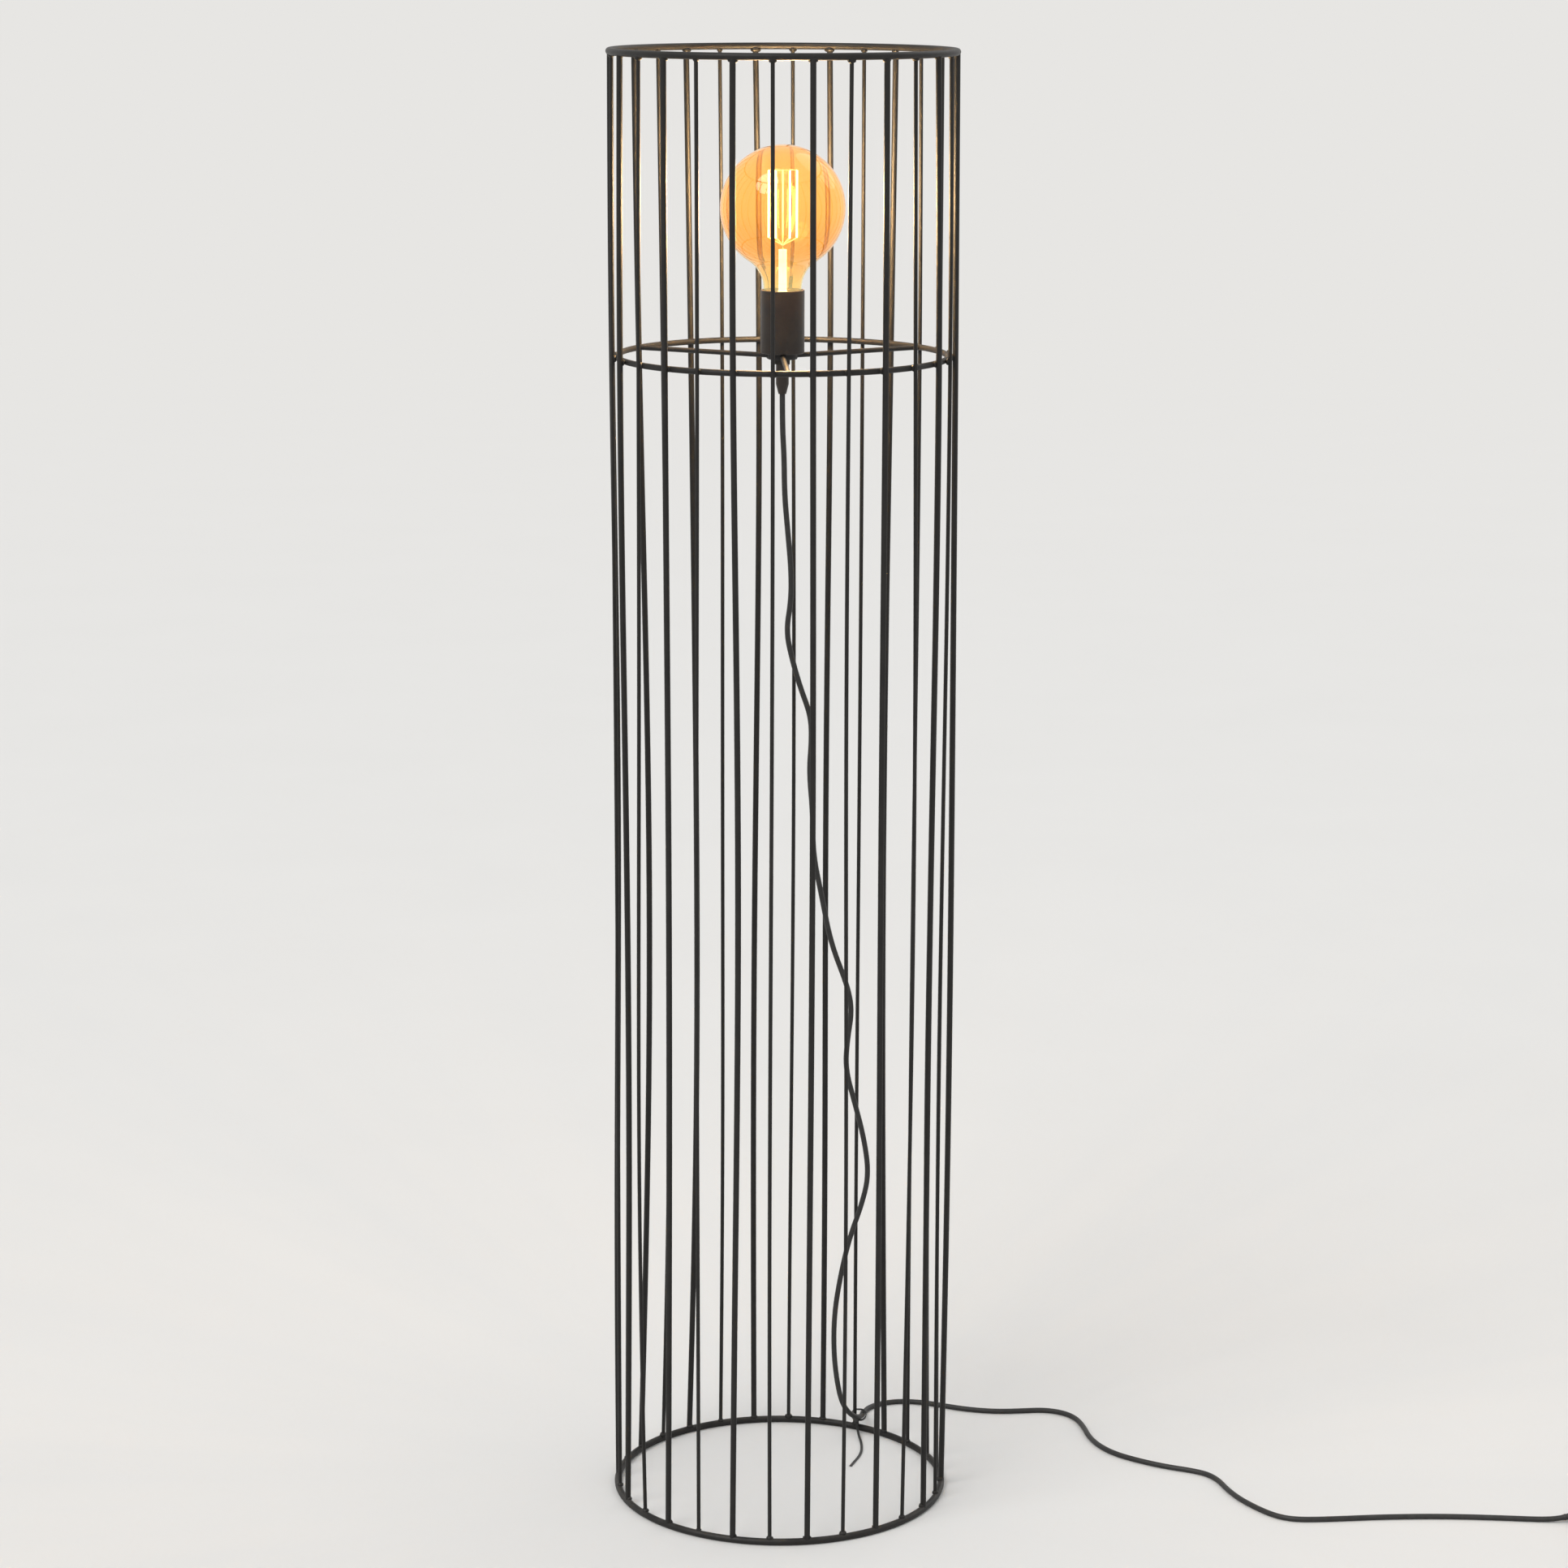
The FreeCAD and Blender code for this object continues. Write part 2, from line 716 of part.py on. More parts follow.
def cord_tie():
    """A narrow tie around the cord and a thin rod, with its head and its uncut tail."""
    middle, across, forward, half_length = tie_frame()
    normal = across.cross(forward)
    start = middle - normal * (tie_width / 2)
    inner_radius = tie_inner_radius()
    inner_half = half_length + tie_slack
    band = racetrack(inner_half + tie_thickness, inner_radius + tie_thickness, start, across, forward)
    hole = racetrack(inner_half, inner_radius, start, across, forward)
    loop = band.extrude(normal * tie_width).cut(hole.extrude(normal * tie_width))
    length, width, height = tie_head_size
    head = Part.makeBox(length, width, height, Vector(-length / 2, -width / 2, 0))
    seat = tie_seat()
    head.Placement = FreeCAD.Placement(seat, FreeCAD.Rotation(across, normal, forward, "ZXY"))
    return loop.fuse(head).fuse(tie_tail()).removeSplitter()


def tie_inner_radius():
    """The slanted band passes the upright rod and the level cord with half the slack on each side."""
    return cord_diameter / 2 * math.sqrt(2) + tie_width / 2 + tie_slack / 2


def tie_seat():
    """The foot of the head, on the middle of the band."""
    middle, across, forward, half_length = tie_frame()
    return middle + across * tie_head_offset + forward * (tie_inner_radius() + tie_thickness / 2)


def tie_tail():
    """The flat end of the tie, which runs from its head down to the floor."""
    seat = tie_seat()
    fall = seat.z - tie_tail_height
    route = [(seat.x + x, seat.y + y, tie_tail_height + fall * z) for x, y, z in tie_tail_steps]
    path, radii = rounded_path(route)
    start = Vector(*route[0])
    along = (Vector(*route[1]) - start).normalize()
    side = along.cross(up).normalize()
    lift = side.cross(along)
    corners = [
        start + side * (x * tie_width / 2) + lift * (z * tie_thickness / 2)
        for x, z in ((-1, -1), (1, -1), (1, 1), (-1, 1), (-1, -1))
    ]
    sweep = Part.BRepOffsetAPI.MakePipeShell(path)
    sweep.setBiNormalMode(up)
    sweep.add(Part.makePolygon(corners))
    sweep.build()
    sweep.makeSolid()
    print(f"cord_tie tail: {path.Length:.0f} mm long, tightest radius {min(radii):.0f}")
    return sweep.shape()


# Foot switch


def switch_middle():
    return (switch_start[0] + switch_length / 2, switch_start[1])


def switch_cord_holes():
    """The two holes along X where the cord passes through the end walls."""
    start = Vector(switch_start[0], switch_start[1], switch_seam)
    return bar(start, start + Vector(switch_length, 0, 0), cord_bore)


def switch_hollow(foot, top):
    """The space inside the side walls between two heights."""
    length = switch_length - 2 * switch_wall
    width = switch_width - 2 * switch_wall
    return rounded_plate(length, width, switch_corner - switch_wall, foot, top - foot, switch_middle())


def switch_base():
    """The tray that rests on the floor, with the guide of the spring."""
    tray = rounded_plate(switch_length, switch_width, switch_corner, 0, switch_seam, switch_middle())
    tray = tray.makeChamfer(edge_break, edges_at(tray, 0))
    hollow = switch_hollow(switch_floor, switch_seam)
    guide = disc(spring_guide, switch_floor, switch_floor + spring_guide_height, switch_middle())
    return tray.cut(hollow).cut(switch_cord_holes()).fuse(guide).removeSplitter()


def switch_cover():
    """The domed shell above the seam, with the hole for the button."""
    height = switch_height - switch_seam
    ceiling = switch_height - switch_wall
    shell = rounded_plate(switch_length, switch_width, switch_corner, switch_seam, height, switch_middle())
    shell = shell.makeFillet(switch_top_round, edges_at(shell, switch_height))
    hollow = switch_hollow(switch_seam, ceiling)
    hollow = hollow.makeFillet(switch_top_round - switch_wall, edges_at(hollow, ceiling))
    hole = disc(button_diameter + 2 * button_gap, switch_seam, switch_height, switch_middle())
    return shell.cut(hollow).cut(hole).cut(switch_cord_holes())


def button_top():
    return switch_height + button_proud


def switch_button():
    """A cap that stands out of the cover and is kept in by its flange."""
    flange_top_z = switch_height - switch_wall - button_gap
    flange_foot = flange_top_z - button_flange_height
    cap = disc(button_diameter, flange_foot, button_top(), switch_middle())
    cap = cap.makeFillet(button_round, edges_at(cap, button_top()))
    flange = disc(button_diameter + 2 * button_flange, flange_foot, flange_top_z, switch_middle())
    ceiling = button_top() - button_wall
    hollow = disc(button_diameter - 2 * button_wall, flange_foot, ceiling, switch_middle())
    return cap.fuse(flange).cut(hollow).removeSplitter()


def switch_spring():
    """The coil spring between the floor of the base and the underside of the button."""
    foot = switch_floor + spring_wire / 2
    height = button_top() - button_wall - spring_wire / 2 - foot
    helix = Part.makeHelix(height / spring_turns, height, spring_circle / 2)
    circle = Part.makeCircle(spring_wire / 2, Vector(spring_circle / 2, 0, 0), Vector(0, 1, 0))
    spring = Part.Wire(helix.Edges).makePipeShell([Part.Wire([circle])], True, True)
    spring.translate(Vector(switch_middle()[0], switch_middle()[1], foot))
    return spring


# Plug


def plug_pins():
    """Two round-ended pins that point along -X."""
    z = plug_thickness / 2
    pins = []
    for side in (-1, 1):
        y = plug_front[1] + side * pin_spacing / 2
        root = Vector(plug_front[0] + pin_root_length, y, z)
        face = Vector(plug_front[0], y, z)
        tip = Vector(plug_front[0] - pin_length + pin_diameter / 2, y, z)
        pin = bar(root, face, pin_root_diameter).multiFuse([
            bar(face, tip, pin_diameter),
            Part.makeSphere(pin_diameter / 2, tip),
        ])
        pins.append(pin.removeSplitter())
    return Part.makeCompound(pins)


def plug_body():
    """A flat moulded body that narrows to a tapered strain relief."""
    x, y = plug_front
    half = plug_width / 2
    rear = plug_rear_width / 2
    near_side = [(0, -half), (plug_straight, -half), (plug_length, -rear)]
    far_side = [(along, -across) for along, across in reversed(near_side)]
    outline = near_side + far_side + near_side[:1]
    corners = [Vector(x + along, y + across, 0) for along, across in outline]
    body = Part.Face(Part.makePolygon(corners)).extrude(Vector(0, 0, plug_thickness))
    body = body.makeFillet(plug_round, body.Edges)
    middle = Vector(x + plug_length - plug_round, y, plug_thickness / 2)
    relief = Part.makeCone(
        relief_root_diameter / 2, relief_end_diameter / 2, relief_length + plug_round,
        middle, Vector(1, 0, 0),
    )
    end = Vector(x + plug_length + relief_length, y, plug_thickness / 2)
    bore = bar(end, end - Vector(relief_bore_depth, 0, 0), cord_bore)
    return body.fuse(relief).cut(bore).cut(plug_pins()).removeSplitter()


def pieces():
    """Every piece of the lamp by the name of its node."""
    parts = {"top_ring": top_ring(), "middle_ring": middle_ring(), "base_ring": base_ring()}
    parts.update(cage_rods())
    makers = [
        spider_arms, spider_hub, threaded_nipple, lock_nut, cord_grip,
        holder_dome, holder_skirt, holder_insulator, terminal_screws, holder_screw_shell,
        holder_centre_contact, bulb_globe, bulb_stem, bulb_filaments, filament_supports,
        bulb_cap, cap_insulator, cap_contact, cord_coil, cord_tie,
        switch_base, switch_cover, switch_button, switch_spring, plug_body, plug_pins,
    ]
    for make in makers:
        parts[make.__name__] = make()
    parts["lamp_cord"] = swept_cord("lamp_cord", lamp_cord_route)
    parts["coil_lead"] = swept_cord("coil_lead", coil_lead_route)
    parts["plug_lead"] = swept_cord("plug_lead", plug_lead_route)
    return parts


os.makedirs("parts", exist_ok=True)
for name, shape in pieces().items():
    solids = len(shape.Solids)
    print(f"{name}: {solids} solid(s), {shape.Volume:.0f} mm3, valid {shape.isValid()}")
    shape.exportStep(f"parts/{name}.step")
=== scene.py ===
import bpy
import bmesh
import math
from mathutils import Matrix, Vector


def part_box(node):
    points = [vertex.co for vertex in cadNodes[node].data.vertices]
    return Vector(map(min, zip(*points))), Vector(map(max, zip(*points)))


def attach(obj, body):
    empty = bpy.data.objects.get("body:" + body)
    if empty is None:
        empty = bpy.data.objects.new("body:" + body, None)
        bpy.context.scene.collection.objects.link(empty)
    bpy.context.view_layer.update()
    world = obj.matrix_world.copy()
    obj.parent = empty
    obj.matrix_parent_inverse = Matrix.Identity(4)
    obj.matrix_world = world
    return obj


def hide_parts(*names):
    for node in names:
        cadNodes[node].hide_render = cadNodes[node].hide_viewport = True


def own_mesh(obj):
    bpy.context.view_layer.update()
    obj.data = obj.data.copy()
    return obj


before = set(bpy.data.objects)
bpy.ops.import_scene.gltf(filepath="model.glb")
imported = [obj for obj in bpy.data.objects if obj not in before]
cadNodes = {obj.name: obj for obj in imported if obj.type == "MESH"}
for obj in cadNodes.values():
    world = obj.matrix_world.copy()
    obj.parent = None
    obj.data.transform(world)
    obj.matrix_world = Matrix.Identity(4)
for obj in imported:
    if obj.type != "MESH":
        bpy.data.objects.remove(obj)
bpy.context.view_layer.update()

scene = bpy.context.scene
print("frame loaded with", len(cadNodes), "nodes")


# camera, at the photograph's angle

cameraPose = {
    "place": (0.0, -3.981, 1.6177),
    "lookDown": 12.18,          # degrees below level
    "turn": -0.04,              # degrees about the upright
    "roll": 0.16,               # degrees about the line of sight
    "lens": 91.36,              # millimetres, as is the sensor's width
    "sensor": 36.0,
    "nearest": 0.05, "farthest": 400.0,
}


def placeCamera(pose):
    data = bpy.data.cameras.new("camera")
    data.lens = pose["lens"]
    data.sensor_width = pose["sensor"]
    data.clip_start = pose["nearest"]
    data.clip_end = pose["farthest"]
    camera = bpy.data.objects.new("camera", data)
    scene.collection.objects.link(camera)
    turn = Matrix.Rotation(math.radians(pose["turn"]), 4, "Z")
    tilt = Matrix.Rotation(math.radians(90 - pose["lookDown"]), 4, "X")
    roll = Matrix.Rotation(math.radians(pose["roll"]), 4, "Z")
    camera.matrix_world = Matrix.Translation(pose["place"]) @ turn @ tilt @ roll
    scene.camera = camera


placeCamera(cameraPose)
print("camera placed")


# node maths, for finishes, shapes and the sky alike

class Field:                # a socket whose operators add the nodes of the sum that they write
    def __init__(self, owner, socket):
        self.owner = owner
        self.socket = socket

    def maths(self, operation, first, second=0.0):
        return self.owner.node("ShaderNodeMath", {"operation": operation}, {0: first, 1: second})

    def sine(self):
        return self.maths("SINE", self)

    def size(self):
        return self.maths("ABSOLUTE", self)

    def most(self, other):
        return self.maths("MAXIMUM", self, other)

    def __add__(self, other):
        return self.maths("ADD", self, other)

    def __sub__(self, other):
        return self.maths("SUBTRACT", self, other)

    def __rsub__(self, other):
        return self.maths("SUBTRACT", other, self)

    def __mul__(self, other):
        return self.maths("MULTIPLY", self, other)

    def __truediv__(self, other):
        return self.maths("DIVIDE", self, other)

    def __pow__(self, other):
        return self.maths("POWER", self, other)

    def __gt__(self, other):
        return self.maths("GREATER_THAN", self, other)

    __radd__ = __add__
    __rmul__ = __mul__


class Nodes:                # a tree, and the one method that adds nodes to it
    def __init__(self, tree):
        self.tree = tree

    def node(self, kind, settings=None, sockets=None, output=0):
        made = self.tree.nodes.new(kind)
        for name, value in (settings or {}).items():
            setattr(made, name, value)
        for name, value in (sockets or {}).items():
            if isinstance(value, Field):
                self.tree.links.new(value.socket, made.inputs[name])
            else:
                made.inputs[name].default_value = value
        return Field(self, made.outputs[output]) if made.outputs else None

    def axis(self, vector, name):
        return self.node("ShaderNodeSeparateXYZ", None, {"Vector": vector}, output=name)


class Shape(Nodes):         # one geometry tree, with named inputs for its sizes
    def __init__(self, name, sizes):
        super().__init__(bpy.data.node_groups.new(name, "GeometryNodeTree"))
        sockets = self.tree.interface
        sockets.new_socket("Geometry", in_out="INPUT", socket_type="NodeSocketGeometry")
        sockets.new_socket("Geometry", in_out="OUTPUT", socket_type="NodeSocketGeometry")
        for size, value in sizes.items():
            kind = "NodeSocketInt" if isinstance(value, int) else "NodeSocketFloat"
            sockets.new_socket(size, in_out="INPUT", socket_type=kind)
        self.sizes = sizes
        self.start = self.tree.nodes.new("NodeGroupInput")

    def given(self, name="Geometry"):
        return Field(self, self.start.outputs[name])

    def kept(self, name, kind="FLOAT"):         # a value that the seeds carry
        return self.node("GeometryNodeInputNamedAttribute", {"data_type": kind}, {"Name": name})

    def vector(self, x, y, z):
        return self.node("ShaderNodeCombineXYZ", None, {"X": x, "Y": y, "Z": z})

    def along(self, vector, length):
        return self.node("ShaderNodeVectorMath", {"operation": "SCALE"}, {0: vector, "Scale": length})

    def moved(self, geometry, offset):
        return self.node("GeometryNodeSetPosition", None, {"Geometry": geometry, "Offset": offset})

    def evenly(self, curve, steps):
        return self.node("GeometryNodeResampleCurve", None, {"Curve": curve, "Count": steps})

    def copies(self, model, **sockets):         # one on each seed
        sockets = {"Points": self.given(), "Instance": model, **sockets}
        many = self.node("GeometryNodeInstanceOnPoints", None, sockets)
        return self.node("GeometryNodeRealizeInstances", None, {"Geometry": many})

    def sweep(self, curve, radius, sides):
        circle = self.node("GeometryNodeCurvePrimitiveCircle", None, {"Resolution": sides, "Radius": 1.0})
        sockets = {"Curve": curve, "Profile Curve": circle, "Scale": radius, "Fill Caps": True}
        return self.node("GeometryNodeCurveToMesh", None, sockets)

    def end(self, geometry, material):
        sockets = {"Geometry": geometry, "Shade Smooth": True}
        smooth = self.node("GeometryNodeSetShadeSmooth", None, sockets)
        real = self.node("GeometryNodeRealizeInstances", None, {"Geometry": smooth})
        dressed = self.node("GeometryNodeSetMaterial", None, {"Geometry": real, "Material": material})
        self.node("NodeGroupOutput", None, {"Geometry": dressed})

    def grown(self, name, seeds):               # the tree's result as a plain mesh object
        piece = bpy.data.objects.new(name, seeds)
        scene.collection.objects.link(piece)
        modifier = piece.modifiers.new("shape", "NODES")
        modifier.node_group = self.tree
        for item in self.tree.interface.items_tree:
            if item.in_out == "INPUT" and item.name in self.sizes:
                modifier[item.identifier] = self.sizes[item.name]
        posed = piece.evaluated_get(bpy.context.evaluated_depsgraph_get())
        mesh = bpy.data.meshes.new_from_object(posed)
        piece.modifiers.remove(modifier)
        piece.data = mesh
        mesh.name = name
        return piece


def seedMesh(name, places, edges=(), **carried):
    mesh = bpy.data.meshes.new(name)
    mesh.from_pydata(places, edges, [])
    for key, values in carried.items():
        isVector = isinstance(values[0], tuple)
        attribute = mesh.attributes.new(key, "FLOAT_VECTOR" if isVector else "FLOAT", "POINT")
        for item, value in zip(attribute.data, values):
            setattr(item, "vector" if isVector else "value", value)
    return mesh


class Finish(Nodes):        # one material and its nodes
    def __init__(self, name):
        self.material = bpy.data.materials.new(name)
        self.material.use_nodes = True
        super().__init__(self.material.node_tree)
        self.tree.nodes.clear()

    def place(self):
        return self.node("ShaderNodeTexCoord", output="Object")

    def height(self):
        return self.axis(self.place(), "Z")

    def facingUp(self):
        return self.axis(self.node("ShaderNodeNewGeometry", output="Normal"), "Z")

    def noise(self, pattern, stretch=None):     # the pattern is its scale, detail and roughness
        scale, detail, rough = pattern
        place = self.place()
        if stretch:
            place = self.node("ShaderNodeMapping", None, {"Vector": place, "Scale": stretch})
        sockets = {"Vector": place, "Scale": scale, "Detail": detail, "Roughness": rough}
        return self.node("ShaderNodeTexNoise", None, sockets)

    def cells(self, scale):
        return self.node("ShaderNodeTexVoronoi", None, {"Vector": self.place(), "Scale": scale})

    def spread(self, factor, span, to=(0.0, 1.0)):
        sockets = {
            "Value": factor, "From Min": span[0], "From Max": span[1], "To Min": to[0], "To Max": to[1],
        }
        return self.node("ShaderNodeMapRange", None, sockets)

    def tint(self, factor, first, second):
        sockets = {0: factor, 6: first, 7: second}
        return self.node("ShaderNodeMix", {"data_type": "RGBA"}, sockets, output=2)

    def bump(self, height, relief, under=None):     # the relief is its depth in metres and its strength
        sockets = {"Height": height, "Distance": relief[0], "Strength": relief[1]}
        if under:
            sockets["Normal"] = under
        return self.node("ShaderNodeBump", None, sockets)

    def surface(self, **sockets):
        named = {name.replace("_", " "): value for name, value in sockets.items()}
        shader = self.node("ShaderNodeBsdfPrincipled", None, named)
        self.show(shader)
        return shader

    def show(self, shader):
        for old in [node for node in self.tree.nodes if node.type == "OUTPUT_MATERIAL"]:
            self.tree.nodes.remove(old)
        self.node("ShaderNodeOutputMaterial", None, {"Surface": shader})


def solid(red, green, blue):
    return (red, green, blue, 1.0)


# finishes, where a span is the value at which something starts and the one at which it is full

noiseSpan = (0.3, 0.7)      # nearly all values of a noise lie in it


def powderCoat():
    look = {
        "base": solid(0.0095, 0.0088, 0.0082), "pale": solid(0.019, 0.0175, 0.016),
        "cloud": (38.0, 4.0, 0.6), "cloudSpan": (0.3, 0.8),
        "grain": (1500.0, 2.0, 0.55), "grainRelief": (0.00009, 0.55), "rough": (0.40, 0.56), "shine": 0.3,
        "peel": (420.0, 2.0, 0.5), "peelRelief": (0.00022, 0.5),
        "dust": solid(0.10, 0.089, 0.077), "dustSpan": (0.42, 0.75), "dustFacing": (0.35, 1.0),
        "dustHeights": (0.09, 0.0),     # dust gathers near the floor
        "dustEverywhere": 0.14, "dustBelow": 0.5, "dustRough": 0.25,
    }
    finish = Finish("powderCoat")
    cloud = finish.noise(look["cloud"])
    grain = finish.noise(look["grain"])
    low = finish.spread(finish.height(), look["dustHeights"])
    up = finish.spread(finish.facingUp(), look["dustFacing"])
    share = look["dustEverywhere"] + look["dustBelow"] * low
    dust = up * finish.spread(cloud, look["dustSpan"]) * share
    colour = finish.tint(finish.spread(cloud, look["cloudSpan"]), look["base"], look["pale"])
    colour = finish.tint(dust, colour, look["dust"])
    rough = finish.spread(grain, noiseSpan, look["rough"]) + look["dustRough"] * dust
    peel = finish.bump(finish.noise(look["peel"]), look["peelRelief"])
    normal = finish.bump(grain, look["grainRelief"], peel)
    finish.surface(Base_Color=colour, Roughness=rough, Normal=normal, Specular_IOR_Level=look["shine"])
    return finish.material


def holderPlastic():
    look = {
        "base": solid(0.0165, 0.0120, 0.0090), "pale": solid(0.031, 0.0215, 0.0150),
        "cloud": (55.0, 4.0, 0.6), "cloudSpan": (0.35, 0.75),
        "grain": (2600.0, 2.0, 0.5), "relief": (0.00005, 0.5), "rough": (0.30, 0.42), "shine": 0.4,
        "scuffs": (30.0, 6.0, 0.7), "scuffStretch": (1.0, 1.0, 9.0), "scuffSpan": (0.6, 0.72),
        "scuffRough": 0.14,
    }
    finish = Finish("holderPlastic")
    grain = finish.noise(look["grain"])
    cloud = finish.spread(finish.noise(look["cloud"]), look["cloudSpan"])
    scuffs = finish.spread(finish.noise(look["scuffs"], look["scuffStretch"]), look["scuffSpan"])
    rough = finish.spread(grain, noiseSpan, look["rough"]) + look["scuffRough"] * scuffs
    finish.surface(
        Base_Color=finish.tint(cloud, look["base"], look["pale"]), Roughness=rough,
        Normal=finish.bump(grain, look["relief"]), Specular_IOR_Level=look["shine"],
    )
    return finish.material


def switchPlastic():
    look = {
        "base": solid(0.015, 0.0145, 0.014), "pale": solid(0.027, 0.026, 0.025),
        "cloud": (24.0, 5.0, 0.6), "cloudSpan": (0.3, 0.8),
        "sparks": 1500.0, "sparkSpan": (0.0, 0.6), "relief": (0.00012, 0.6), "rough": (0.52, 0.42),
        "worn": (70.0, 5.0, 0.7), "wornSpan": (0.56, 0.7), "wornSmooth": 0.12,
    }
    finish = Finish("switchPlastic")
    spark = finish.cells(look["sparks"])
    cloud = finish.spread(finish.noise(look["cloud"]), look["cloudSpan"])
    worn = finish.spread(finish.noise(look["worn"]), look["wornSpan"])
    rough = finish.spread(spark, look["sparkSpan"], look["rough"]) - look["wornSmooth"] * worn
    finish.surface(
        Base_Color=finish.tint(cloud, look["base"], look["pale"]), Roughness=rough,
        Normal=finish.bump(spark, look["relief"]),
    )
    return finish.material


def cordSheath():
    look = {
        "base": solid(0.0115, 0.011, 0.0105), "pale": solid(0.024, 0.023, 0.022),
        "cloud": (160.0, 3.0, 0.6), "cloudSpan": (0.3, 0.75),
        "fine": (1900.0, 3.0, 0.55), "relief": (0.00006, 0.5), "rough": (0.44, 0.55),
        "dust": solid(0.16, 0.145, 0.13), "dustCloud": (48.0, 5.0, 0.65), "dustSpan": (0.52, 0.78),
        "dustFacing": (0.3, 1.0), "dustShare": 0.16, "dustRough": 0.1,
    }
    finish = Finish("cordSheath")
    fine = finish.noise(look["fine"])
    cloud = finish.spread(finish.noise(look["cloud"]), look["cloudSpan"])
    dust = finish.spread(finish.noise(look["dustCloud"]), look["dustSpan"])
    up = finish.spread(finish.facingUp(), look["dustFacing"])
    colour = finish.tint(cloud, look["base"], look["pale"])
    colour = finish.tint(look["dustShare"] * dust * up, colour, look["dust"])
    rough = finish.spread(fine, noiseSpan, look["rough"]) + look["dustRough"] * dust
    finish.surface(Base_Color=colour, Roughness=rough, Normal=finish.bump(fine, look["relief"]))
    return finish.material


def tieNylon():
    look = {
        "base": solid(0.014, 0.014, 0.014), "pale": solid(0.03, 0.029, 0.028),
        "cloud": (240.0, 3.0, 0.55), "relief": (0.0001, 0.4),
        "fine": (900.0, 2.0, 0.5), "rough": (0.36, 0.46),
    }
    finish = Finish("tieNylon")
    cloud = finish.noise(look["cloud"])
    finish.surface(
        Base_Color=finish.tint(cloud, look["base"], look["pale"]),
        Roughness=finish.spread(finish.noise(look["fine"]), noiseSpan, look["rough"]),
        Normal=finish.bump(cloud, look["relief"]),
    )
    return finish.material


def turnedMetal(name, pale, dark, smoothest, stain):    # fine lines from turning, and a slight stain
    look = {
        "lines": (1.0, 2.0, 0.5), "lineStretch": (40.0, 40.0, 5200.0), "relief": (0.00002, 0.35),
        "lineRough": 0.12, "cloud": (180.0, 5.0, 0.6), "tarnishSpan": (0.48, 0.72), "tarnishRough": 0.2,
    }
    finish = Finish(name)
    lines = finish.noise(look["lines"], look["lineStretch"])
    tarnish = finish.spread(finish.noise(look["cloud"]), look["tarnishSpan"])
    rough = finish.spread(lines, noiseSpan, (smoothest, smoothest + look["lineRough"]))
    finish.surface(
        Base_Color=finish.tint(tarnish * stain, pale, dark), Metallic=1.0,
        Roughness=rough + look["tarnishRough"] * stain * tarnish,
        Normal=finish.bump(lines, look["relief"]),
    )
    return finish.material


def pinMetal():             # nickel pins, black and insulated next to the body
    look = {
        "metal": solid(0.70, 0.68, 0.63), "sleeve": solid(0.016, 0.0155, 0.015),
        "sleeveEnd": 0.8225, "sleeveRough": 0.2,
        "lines": (1.0, 2.0, 0.5), "lineStretch": (60.0, 2600.0, 2600.0),
        "relief": (0.00002, 0.3), "rough": (0.18, 0.30),
    }
    finish = Finish("pinMetal")
    sleeve = finish.axis(finish.place(), "X") > look["sleeveEnd"]
    lines = finish.noise(look["lines"], look["lineStretch"])
    finish.surface(
        Base_Color=finish.tint(sleeve, look["metal"], look["sleeve"]), Metallic=1 - sleeve,
        Roughness=finish.spread(lines, noiseSpan, look["rough"]) + look["sleeveRough"] * sleeve,
        Normal=finish.bump(lines, look["relief"]),
    )
    return finish.material


def porcelain():
    look = {
        "base": solid(0.80, 0.78, 0.72), "pale": solid(0.86, 0.845, 0.80),
        "cloud": (90.0, 3.0, 0.5), "relief": (0.0002, 0.3), "rough": (0.16, 0.24), "coat": 0.4,
        "speck": solid(0.35, 0.26, 0.17), "cells": 1300.0, "speckSpan": (0.16, 0.0), "speckShare": 0.55,
        "patches": (420.0, 1.0, 0.5), "patchLimit": 0.62,       # specks show only above it
    }
    finish = Finish("porcelain")
    specks = finish.spread(finish.cells(look["cells"]), look["speckSpan"])
    some = finish.noise(look["patches"]) > look["patchLimit"]
    cloud = finish.noise(look["cloud"])
    colour = finish.tint(cloud, look["base"], look["pale"])
    colour = finish.tint(look["speckShare"] * specks * some, colour, look["speck"])
    rough = finish.spread(cloud, noiseSpan, look["rough"])
    normal = finish.bump(cloud, look["relief"])
    finish.surface(Base_Color=colour, Roughness=rough, Normal=normal, Coat_Weight=look["coat"])
    return finish.material


